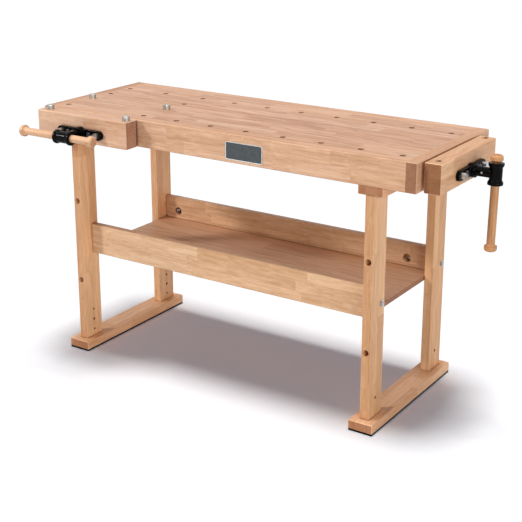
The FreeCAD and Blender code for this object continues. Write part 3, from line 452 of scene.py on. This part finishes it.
rod_steel = steel("bright turned steel", rgb(198, 198, 196), rgb(150, 148, 145),
                  roughness=0.24, marks=(30, 30, 30))
dog_steel = steel("dog steel", rgb(178, 175, 168), rgb(138, 135, 129),
                  roughness=0.38, marks=(30, 30, 2600))
zinc = steel("zinc plated steel", rgb(198, 198, 196), rgb(140, 138, 134),
             roughness=0.34, marks=(400, 400, 400))
rim_steel = steel("bare plate rim", rgb(214, 212, 208), rgb(176, 174, 170),
                  roughness=0.3, marks=(40, 40, 1800))
sole_rubber = rubber("black sole rubber")
plate_enamel = enamel("slate enamel")

CAD_FINISHES = {
    bench_top: ("top_slab",),
    apron_wood: ("front_apron", "back_apron"),
    cap_wood: ("left_end_cap", "right_end_cap"),
    front_jaw_wood: ("front_jaw",),
    end_jaw_wood: ("end_jaw",),
    post_wood: ("left_front_post", "left_back_post", "right_front_post", "right_back_post"),
    rail_wood: ("left_foot", "right_foot", "left_top_rail", "right_top_rail"),
    stretcher_wood: ("front_stretcher", "back_stretcher"),
    shelf_wood: ("shelf_board",),
    front_turned: ("front_handle_bar",),
    end_turned: ("end_handle_bar",),
    rod_steel: ("front_guide_rods", "end_guide_rods", "front_collar", "end_collar",
                "front_hub_pin", "end_hub_pin"),
    dog_steel: ("dog_1", "dog_2", "dog_3", "dog_4"),
    zinc: ("foot_screws", "rail_screws", "front_nut_screws", "end_nut_screws"),
    sole_rubber: ("left_sole", "right_sole"),
}
for finish, names in CAD_FINISHES.items():
    for name in names:
        nodes[name].material_slots[0].material = finish


# ------------------------------------------------------------------------ mesh helpers

# Metres: points nearer than this are one point.
MERGE_DISTANCE = 1e-6


def new_piece(name, mesh, *materials):
    mesh.name = name
    piece = bpy.data.objects.new(name, mesh)
    scene.collection.objects.link(piece)
    for material in materials:
        mesh.materials.append(material)
    return piece


def hand_over(piece, body, slot, *replaced):
    """Tell the frame which body carries a piece and hide the nodes it stands for; the slot is
    not used.
    """
    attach(piece, body)
    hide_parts(*replaced)


def shade_by_angle(mesh, degrees):
    """Smooth shading, with sharp edges where two faces meet at more than an angle."""
    work = bmesh.new()
    work.from_mesh(mesh)
    for face in work.faces:
        face.smooth = True
    for edge in work.edges:
        if len(edge.link_faces) == 2:
            edge.smooth = edge.calc_face_angle(0) < math.radians(degrees)
    work.to_mesh(mesh)
    work.free()


def lathe(profile, steps):
    """Turn a profile of (radius, height) about Z into a closed mesh."""
    work = bmesh.new()
    points = [work.verts.new((radius, 0, height)) for radius, height in profile]
    for first, second in zip(points, points[1:]):
        work.edges.new((first, second))
    bmesh.ops.spin(work, geom=work.verts[:] + work.edges[:], cent=(0, 0, 0), axis=(0, 0, 1),
                   angle=2 * math.pi, steps=steps, use_merge=True)
    bmesh.ops.remove_doubles(work, verts=work.verts, dist=MERGE_DISTANCE)
    bmesh.ops.recalc_face_normals(work, faces=work.faces)
    mesh = bpy.data.meshes.new("turned")
    work.to_mesh(mesh)
    work.free()
    return mesh


def middle(node):
    """The middle of a node's box."""
    low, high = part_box(node)
    return (low + high) / 2


def reaches(node, axis):
    """How far along an axis a node begins and ends."""
    return sorted(corner.dot(axis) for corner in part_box(node))


def on_axis(centre, axis, reach):
    """The point at a reach along an axis that goes through a centre."""
    return centre + axis * (reach - centre.dot(axis))


def stand(place, aim):
    """What carries a mesh's origin to a place and its Z to an aim."""
    return Matrix.Translation(place) @ aim.to_track_quat("Z", "Y").to_matrix().to_4x4()


def bake(holder):
    """What an object's modifiers make of it, as a plain mesh; the object itself goes."""
    depsgraph = bpy.context.evaluated_depsgraph_get()
    mesh = bpy.data.meshes.new_from_object(holder.evaluated_get(depsgraph),
                                           depsgraph=depsgraph)
    bpy.data.objects.remove(holder)
    return mesh


def settle(name, source, modifiers):
    """A copy of a CAD mesh, merged, run through modifiers and kept as a plain mesh."""
    work = bmesh.new()
    work.from_mesh(nodes[source].data)
    bmesh.ops.remove_doubles(work, verts=work.verts, dist=MERGE_DISTANCE)
    copied = bpy.data.meshes.new(name)
    work.to_mesh(copied)
    work.free()
    holder = bpy.data.objects.new(name, copied)
    scene.collection.objects.link(holder)
    for kind, settings in modifiers:
        modifier = holder.modifiers.new(kind.lower(), kind)
        for key, value in settings.items():
            setattr(modifier, key, value)
    return bake(holder)


def grow(name, tree, points, values):
    """Run a geometry tree on a mesh of points and keep what it makes as a plain piece."""
    holder = bpy.data.objects.new(name + "_points", points)
    scene.collection.objects.link(holder)
    modifier = holder.modifiers.new("grow", "NODES")
    modifier.node_group = tree
    for item in tree.interface.items_tree:
        if item.item_type == "SOCKET" and item.in_out == "INPUT" and item.name in values:
            modifier[item.identifier] = values[item.name]
    return new_piece(name, bake(holder))


def aimed_points(places):
    """A mesh of loose points, each with the direction its fastener's head looks."""
    mesh = bpy.data.meshes.new("places")
    mesh.from_pydata([place for place, aim in places], [], [])
    aims = mesh.attributes.new("aim", "FLOAT_VECTOR", "POINT")
    for index, (place, aim) in enumerate(places):
        aims.data[index].vector = aim
    return mesh


# ------------------------------------------------------------------------------ castings

# A skin one millimetre fine over the solid, then its corners worn soft.
CASTING_STEPS = (
    ("REMESH", {"mode": "VOXEL", "voxel_size": 0.001, "use_smooth_shade": True}),
    ("SMOOTH", {"factor": 0.5, "iterations": 4}),
)
for vise in ("front", "end"):
    for piece_name, body in (("hub", vise + "_screw"), ("flange", vise + "_jaw"),
                             ("nut", "bench")):
        node = vise + "_" + piece_name
        mesh = settle(node + "_casting", node, CASTING_STEPS)
        mesh.materials.clear()
        piece = new_piece(node + "_casting", mesh, black_iron)
        hand_over(piece, body, "black_casting", node)


# ------------------------------------------------------------------- geometry node trees

# The flat top of a hex head, as a share of its width across flats, and the widths of a
# thread's rib at its root and its crest, as shares of the pitch.
HEAD_TOP_SHARE = 0.475
RIB_ROOT_SHARE = 0.86
RIB_CREST_SHARE = 0.22


def stand_on_points(graph, given, result, meshes):
    """End a tree: join meshes, stand them on every point along its aim, give a finish."""
    joined = graph.add("GeometryNodeJoinGeometry")
    for mesh in meshes:
        graph.feed(joined.inputs[0], mesh)
    aim = graph.add("GeometryNodeInputNamedAttribute", {"Name": "aim"},
                    data_type="FLOAT_VECTOR").outputs["Attribute"]
    turn = graph.add("FunctionNodeAlignRotationToVector", {"Vector": aim}, axis="Z")
    spread = graph.add("GeometryNodeInstanceOnPoints", {
        "Points": given["Points"], "Instance": joined.outputs[0], "Rotation": turn.outputs[0]})
    real = graph.add("GeometryNodeRealizeInstances", {0: spread.outputs[0]})
    finish = graph.add("GeometryNodeSetMaterial", {
        "Geometry": real.outputs[0], "Material": given["Finish"]})
    graph.feed(result["Pieces"], finish.outputs[0])


def make_hex_tree():
    """Hex heads with a turned chamfer, a washer below and a shank, one on every point."""
    graph, given, result = new_group(
        "hex fastener", "GeometryNodeTree",
        (("Points", "NodeSocketGeometry", None),
         ("Across Flats", "NodeSocketFloat", 0.013),
         ("Head Height", "NodeSocketFloat", 0.005),
         ("Washer Radius", "NodeSocketFloat", 0.011),
         ("Washer Thickness", "NodeSocketFloat", 0.002),
         ("Shank Radius", "NodeSocketFloat", 0.004),
         ("Shank Length", "NodeSocketFloat", 0.05),
         ("Shank Above", "NodeSocketFloat", 0.0),
         ("Finish", "NodeSocketMaterial", None)),
        (("Pieces", "NodeSocketGeometry"),),
    )
    graph.tree.is_modifier = True

    def drum(sides, radius, depth, middle_height, top_radius=None):
        feeds = {"Vertices": sides, "Depth": depth}
        if top_radius is None:
            node = graph.add("GeometryNodeMeshCylinder", dict(feeds, Radius=radius))
            centre = middle_height
        else:
            feeds.update({"Radius Bottom": radius, "Radius Top": top_radius})
            node = graph.add("GeometryNodeMeshCone", feeds)
            centre = graph.math("SUBTRACT", middle_height, graph.math("DIVIDE", depth, 2.0))
        move = graph.add("GeometryNodeTransform", {
            "Geometry": node.outputs["Mesh"], "Translation": graph.join(0.0, 0.0, centre)})
        return move.outputs[0]

    half_head = graph.math("DIVIDE", given["Head Height"], 2.0)
    corner = graph.math("DIVIDE", given["Across Flats"], math.sqrt(3))
    prism = drum(6, corner, given["Head Height"], half_head)
    top = graph.scale(given["Across Flats"], HEAD_TOP_SHARE)
    slope = graph.scale(given["Head Height"], math.sqrt(3))
    cone = drum(64, graph.math("ADD", top, slope), given["Head Height"], half_head, top)
    head = graph.add("GeometryNodeMeshBoolean", operation="INTERSECT", solver="EXACT")
    graph.feed(head.inputs["Mesh 2"], prism)
    graph.feed(head.inputs["Mesh 2"], cone)
    washer_middle = graph.math("DIVIDE", given["Washer Thickness"], -2.0)
    washer = drum(48, given["Washer Radius"], given["Washer Thickness"], washer_middle)
    shank_depth = graph.math("ADD", given["Shank Length"], given["Shank Above"])
    gone_down = graph.math("SUBTRACT", given["Shank Above"], given["Shank Length"])
    shank = drum(32, given["Shank Radius"], shank_depth, graph.math("DIVIDE", gone_down, 2.0))
    stand_on_points(graph, given, result, (head.outputs["Mesh"], washer, shank))
    return graph.tree


def make_thread_tree():
    """A trapezoid thread wound on a core, along Z from the origin."""
    graph, given, result = new_group(
        "vise screw thread", "GeometryNodeTree",
        (("Points", "NodeSocketGeometry", None),
         ("Length", "NodeSocketFloat", 0.3),
         ("Pitch", "NodeSocketFloat", 0.005),
         ("Root Radius", "NodeSocketFloat", 0.0095),
         ("Crest Radius", "NodeSocketFloat", 0.012),
         ("Finish", "NodeSocketMaterial", None)),
        (("Pieces", "NodeSocketGeometry"),),
    )
    graph.tree.is_modifier = True
    turns = graph.math("DIVIDE", graph.math("SUBTRACT", given["Length"], given["Pitch"]),
                       given["Pitch"])
    height = graph.scale(turns, given["Pitch"])
    spiral = graph.add("GeometryNodeCurveSpiral", {
        "Resolution": 24, "Rotations": turns, "Start Radius": given["Root Radius"],
        "End Radius": given["Root Radius"], "Height": height})
    upright = graph.add("GeometryNodeSetCurveNormal", {"Curve": spiral.outputs[0]},
                        mode="Z_UP")
    rise = graph.math("DIVIDE", given["Pitch"], 2.0)
    raised = graph.add("GeometryNodeTransform", {
        "Geometry": upright.outputs[0], "Translation": graph.join(0.0, 0.0, rise)})
    depth = graph.math("SUBTRACT", given["Crest Radius"], given["Root Radius"])
    rib = graph.add("GeometryNodeCurvePrimitiveQuadrilateral", {
        "Offset": 0.0, "Height": graph.scale(depth, 2.0),
        "Bottom Width": graph.scale(given["Pitch"], RIB_ROOT_SHARE),
        "Top Width": graph.scale(given["Pitch"], RIB_CREST_SHARE)}, mode="TRAPEZOID")
    wound = graph.add("GeometryNodeCurveToMesh", {
        "Curve": raised.outputs[0], "Profile Curve": rib.outputs[0], "Fill Caps": True})
    core = graph.add("GeometryNodeMeshCylinder", {
        "Vertices": 48, "Radius": given["Root Radius"], "Depth": given["Length"]})
    half = graph.math("DIVIDE", given["Length"], 2.0)
    seated = graph.add("GeometryNodeTransform", {
        "Geometry": core.outputs["Mesh"], "Translation": graph.join(0.0, 0.0, half)})
    stand_on_points(graph, given, result, (wound.outputs[0], seated.outputs[0]))
    return graph.tree


HEX = make_hex_tree()
THREAD = make_thread_tree()


def hex_fasteners(name, body, slot, places, replaced, **values):
    """One piece of hex heads or nuts; the values are named as the inputs of their tree."""
    labels = {key.replace("_", " ").title(): value for key, value in values.items()}
    piece = grow(name, HEX, aimed_points(places), labels)
    shade_by_angle(piece.data, degrees=28)
    hand_over(piece, body, slot, *replaced)


# ----------------------------------------------------------------------------- fasteners

# Metres: widths across flats and shanks of the two sizes, a loose washer, and the thin round
# seat that is forged under a head.
M8_FLATS, M8_SHANK = 0.013, 0.0039
M10_FLATS, M10_SHANK = 0.016, 0.0049
WASHER = 0.002
SEAT = 0.0006
SEAT_RADIUS = 0.0085

BOLT_RISE = middle("front_stretcher").z
STRETCHER_LINES = (middle("front_stretcher").y, middle("back_stretcher").y)
POST_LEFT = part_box("left_front_post")[0].x
POST_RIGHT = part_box("right_front_post")[1].x
NUTS_LEFT, NUTS_RIGHT = (corner.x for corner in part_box("stretcher_nuts"))

# Every line of a stretcher has a bolt from outside and a nut in its pocket at both ends.
bolt_places = []
nut_places = []
for y in STRETCHER_LINES:
    bolt_places.append(((POST_LEFT - WASHER, y, BOLT_RISE), (-1, 0, 0)))
    bolt_places.append(((POST_RIGHT + WASHER, y, BOLT_RISE), (1, 0, 0)))
    nut_places.append(((NUTS_LEFT, y, BOLT_RISE), (1, 0, 0)))
    nut_places.append(((NUTS_RIGHT, y, BOLT_RISE), (-1, 0, 0)))
hex_fasteners("stretcher_hex_bolts", "bench", "zinc_steel", bolt_places,
              ("stretcher_bolts", "stretcher_washers"), across_flats=M8_FLATS,
              head_height=0.0053, washer_radius=0.011, washer_thickness=WASHER,
              shank_radius=M8_SHANK, shank_length=0.09, finish=zinc)
hex_fasteners("stretcher_hex_nuts", "bench", "zinc_steel", nut_places, ("stretcher_nuts",),
              across_flats=M8_FLATS, head_height=0.0065, washer_radius=0.0074,
              washer_thickness=SEAT, shank_radius=0.0038, shank_length=0.002,
              shank_above=0.0095, finish=zinc)

# The lag screws stand in from the ends of their box by half a head, which has its corners
# along the bench and its flats across it.
LAG_HALF_CORNERS = 0.0075
LAG_HALF_FLATS = M8_FLATS / 2
rail_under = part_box("left_top_rail")[0].z
lag_low, lag_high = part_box("top_lag_screws")
lag_places = [((x, y, rail_under - SEAT), (0, 0, -1))
              for x in (lag_low.x + LAG_HALF_CORNERS, lag_high.x - LAG_HALF_CORNERS)
              for y in (lag_low.y + LAG_HALF_FLATS, lag_high.y - LAG_HALF_FLATS)]
hex_fasteners("top_hex_lag_screws", "bench", "zinc_steel", lag_places, ("top_lag_screws",),
              across_flats=M8_FLATS, head_height=0.0047, washer_radius=SEAT_RADIUS,
              washer_thickness=SEAT, shank_radius=M8_SHANK, shank_length=0.06, finish=zinc)

# Metres: how far a flange's bolts stand from its middle, and how high their heads are.
FLANGE_BOLT_REACH = 0.0445
FLANGE_HEAD = 0.0065
for vise, outwards, sideways in (("front", Vector((0, -1, 0)), Vector((1, 0, 0))),
                                 ("end", Vector((1, 0, 0)), Vector((0, 1, 0)))):
    node = vise + "_flange_bolts"
    seat = on_axis(middle(node), outwards, reaches(node, outwards)[1] - FLANGE_HEAD)
    seats = [(seat + sideways * side, outwards)
             for side in (-FLANGE_BOLT_REACH, FLANGE_BOLT_REACH)]
    hex_fasteners(vise + "_flange_hex_bolts", vise + "_jaw", "blackened_steel", seats,
                  (node,), across_flats=M10_FLATS, head_height=0.0064,
                  washer_radius=SEAT_RADIUS, washer_thickness=SEAT, shank_radius=M10_SHANK,
                  shank_length=0.03, finish=dark_bolt)


# --------------------------------------------------------------------------- vise screws

# Metres: the thread starts behind the middle of the collar, and both ends stay a little
# inside the length of the solid screw.
THREAD_START = 0.012
END_EASE = 0.0005
SCREW_PITCH = 0.005
SCREW_RADIUS = 0.012
CREST_RADIUS = 0.0119
ROOT_RADIUS = 0.0097
SCREW_CHAMFER = 0.0006
RUN_OUT = 0.002
for vise, inwards in (("front", Vector((0, 1, 0))), ("end", Vector((-1, 0, 0)))):
    centre = middle(vise + "_screw")
    head, tip = reaches(vise + "_screw", inwards)
    collar = middle(vise + "_collar").dot(inwards)
    plain_start = on_axis(centre, inwards, head + END_EASE)
    thread_start = on_axis(centre, inwards, collar + THREAD_START)
    plain = (thread_start - plain_start).length
    thread = tip - thread_start.dot(inwards) - END_EASE
    screw = grow(vise + "_vise_screw", THREAD, aimed_points([(thread_start, inwards)]),
                 {"Length": thread, "Pitch": SCREW_PITCH, "Root Radius": ROOT_RADIUS,
                  "Crest Radius": CREST_RADIUS, "Finish": rod_steel})
    shank = lathe(((0, 0), (SCREW_RADIUS - SCREW_CHAMFER, 0), (SCREW_RADIUS, SCREW_CHAMFER),
                   (SCREW_RADIUS, plain - RUN_OUT), (ROOT_RADIUS, plain), (0, plain)),
                  steps=48)
    shank.transform(stand(plain_start, inwards))
    work = bmesh.new()
    work.from_mesh(screw.data)
    work.from_mesh(shank)
    work.to_mesh(screw.data)
    work.free()
    shade_by_angle(screw.data, degrees=30)
    hand_over(screw, vise + "_screw", "bright_steel", vise + "_screw")


# ------------------------------------------------------------------------- vise handles

# Radians along the turner's two curves.
COVE_ANGLES = (0, 0.35, 0.7, 1.05, 1.35, math.pi / 2)
DOME_ANGLES = (0.15, 0.4, 0.65, 0.9, 1.15, 1.4, math.pi / 2)


def knob_profile(length, bar, radius):
    """A turned knob: a cove up from the bar, a short barrel and a domed end."""
    cove_length = 0.3 * length
    dome_start = 0.66 * length
    dome_flat = 0.42
    cove = [(bar + (radius - bar) * (1 - math.cos(angle)), cove_length * math.sin(angle))
            for angle in COVE_ANGLES]
    dome = [(radius * (dome_flat + (1 - dome_flat) * math.cos(angle)),
             dome_start + (length - dome_start) * math.sin(angle))
            for angle in DOME_ANGLES]
    return [(0, 0.001), (bar, 0)] + cove + [(radius, dome_start)] + dome + [(0, length)]


# Metres.
KNOB_RADIUS = 0.019
BAR_RADIUS = 0.0125
KNOB_LENGTH = 0.024
for vise, ends in (("front", ("left", "right")), ("end", ("lower", "upper"))):
    first, second = (middle(vise + "_" + end + "_knob") for end in ends)
    outwards = (second - first).normalized()
    finish = front_turned if vise == "front" else end_turned
    for end, centre, direction in zip(ends, (first, second), (-outwards, outwards)):
        mesh = lathe(knob_profile(KNOB_LENGTH, BAR_RADIUS, KNOB_RADIUS), steps=72)
        mesh.transform(stand(centre - direction * (KNOB_LENGTH / 2), direction))
        shade_by_angle(mesh, degrees=40)
        node = vise + "_" + end + "_knob"
        knob = new_piece(node + "_turned", mesh, finish)
        hand_over(knob, vise + "_handle", "turned_beech", node)


# ---------------------------------------------------------------------------- name plate

CORNER_STEPS = 8


def rounded_outline(width, height, radius):
    """Points round a rectangle with round corners, in the XZ plane."""
    points = []
    for turn, (sx, sz) in enumerate(((1, 1), (-1, 1), (-1, -1), (1, -1))):
        for step in range(CORNER_STEPS + 1):
            angle = (turn + step / CORNER_STEPS) * math.pi / 2
            points.append((sx * (width / 2 - radius) + radius * math.cos(angle),
                           sz * (height / 2 - radius) + radius * math.sin(angle)))
    return points


def make_plate():
    """A pressed plate: bevelled bare rim around a sunk enamel field."""
    low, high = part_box("name_plate")
    centre = (low + high) / 2
    width, depth, height = high - low
    bevel = 0.0006
    sink = 0.0007
    # Inset, rise from the apron and corner radius of the back, the side, the bevel, the rim
    # and the sunk field.
    levels = (
        (0.0, 0.0, 0.006), (0.0, depth - bevel, 0.006), (bevel, depth, 0.0055),
        (0.0020, depth, 0.0043), (0.0028, depth - sink, 0.0037),
    )
    work = bmesh.new()
    loops = []
    for inset, rise, radius in levels:
        outline = rounded_outline(width - 2 * inset, height - 2 * inset, radius)
        loops.append([work.verts.new((centre.x + x, high.y - rise, centre.z + z))
                      for x, z in outline])
    for inner, outer in zip(loops, loops[1:]):
        for index in range(len(inner)):
            after = (index + 1) % len(inner)
            work.faces.new((inner[index], inner[after], outer[after], outer[index]))
    work.faces.new(loops[0])
    field = work.faces.new(loops[-1])
    field.material_index = 1
    bmesh.ops.recalc_face_normals(work, faces=work.faces)
    mesh = bpy.data.meshes.new("plate")
    work.to_mesh(mesh)
    work.free()
    shade_by_angle(mesh, degrees=25)
    plate = new_piece("blank_name_plate", mesh, rim_steel, plate_enamel)
    hand_over(plate, "bench", "plate_enamel", "name_plate")


make_plate()


# ------------------------------------------------------------------ floor, light, camera

# The floor as it is seen directly: a gain that makes it white in the open, and a glow that
# cools its shadow. How far it reaches each way, in metres.
FLOOR_GAIN = (1.42, 1.42, 1.42)
FLOOR_GLOW = (0.0, 0.03, 0.075, 1)
FLOOR_REACH = 80.0
WHITE = (1, 1, 1, 1)


def seen_directly(graph):
    """1 where the camera, a reflection or a view through glass meets the surface."""
    rays = graph.add("ShaderNodeLightPath").outputs
    seen = graph.math("MAXIMUM", rays["Is Camera Ray"], rays["Is Glossy Ray"])
    return graph.math("MAXIMUM", seen, rays["Is Transmission Ray"])


def make_floor():
    """A pale floor; seen directly it is white wherever no deep shadow falls."""
    mesh = bpy.data.meshes.new("floor")
    corners = ((-1, -1), (1, -1), (1, 1), (-1, 1))
    mesh.from_pydata([(x * FLOOR_REACH, y * FLOOR_REACH, 0) for x, y in corners], [],
                     [(0, 1, 2, 3)])
    material, graph = new_material("pale floor")
    place = graph.add("ShaderNodeTexCoord").outputs["Object"]
    speckle = graph.noise(place, 60.0, 3.0)
    plain = graph.mix(speckle, rgb(236, 236, 236), rgb(240, 240, 240))
    lifted = graph.vector("MULTIPLY", plain, FLOOR_GAIN)
    seen = seen_directly(graph)
    diffuse = graph.add("ShaderNodeBsdfDiffuse", {"Color": graph.mix(seen, plain, lifted)})
    glow = graph.add("ShaderNodeEmission", {"Color": FLOOR_GLOW, "Strength": seen})
    both = graph.add("ShaderNodeAddShader", {0: diffuse.outputs[0], 1: glow.outputs[0]})
    output = graph.add("ShaderNodeOutputMaterial")
    graph.feed(output.inputs["Surface"], both.outputs[0])
    new_piece("studio_floor", mesh, material)


def make_world(ambient):
    """A white sky that is seen at full strength but lights the bench only faintly."""
    world = bpy.data.worlds.new("studio")
    world.use_nodes = True
    world.node_tree.nodes.clear()
    graph = Tree(world.node_tree)
    strength = graph.span(seen_directly(graph), 0.0, 1.0, ambient, 1.0)
    background = graph.add("ShaderNodeBackground", {"Color": WHITE, "Strength": strength})
    output = graph.add("ShaderNodeOutputWorld")
    graph.feed(output.inputs["Surface"], background.outputs[0])
    scene.world = world


def make_sun(name, azimuth, elevation, level, softness, lit=None):
    """A lamp given by where it stands and how bright it makes a surface square to it.

    Angles are in degrees. A lamp with a lit collection leaves everything else alone.
    """
    light = bpy.data.lights.new(name, "SUN")
    light.energy = level * math.pi
    light.angle = math.radians(softness)
    lamp = bpy.data.objects.new(name, light)
    lamp.rotation_euler = (math.radians(90 - elevation), 0, math.radians(azimuth + 90))
    lamp.light_linking.receiver_collection = lit
    scene.collection.objects.link(lamp)


def collect_bench():
    """Every piece of the bench, for the lamps that leave the floor alone."""
    bench = bpy.data.collections.new("bench pieces")
    for item in scene.objects:
        if item.type == "MESH" and item.name != "studio_floor":
            bench.objects.link(item)
    return bench


def make_camera(location, pitch, yaw, lens, shift_y):
    """A camera that looks down by its pitch and left of +Y by its yaw, in degrees."""
    data = bpy.data.cameras.new("camera")
    data.sensor_width = 36
    data.lens = lens
    data.shift_y = shift_y
    data.clip_end = 300
    camera = bpy.data.objects.new("camera", data)
    camera.location = location
    camera.rotation_euler = (math.radians(90 - pitch), 0, math.radians(yaw))
    scene.collection.objects.link(camera)
    scene.camera = camera


make_floor()
make_world(ambient=0.17)
bench_pieces = collect_bench()
make_sun("overhead light", azimuth=0, elevation=90, level=0.66, softness=15)
make_sun("key from the left", azimuth=-136, elevation=31, level=0.52, softness=9,
         lit=bench_pieces)
make_sun("fill from the right", azimuth=-30, elevation=5, level=0.62, softness=40,
         lit=bench_pieces)
make_camera(location=(2.04666, -3.05244, 1.67641), pitch=17.1188, yaw=33.5244, lens=79.474,
            shift_y=-0.1)
scene.view_settings.view_transform = "Standard"
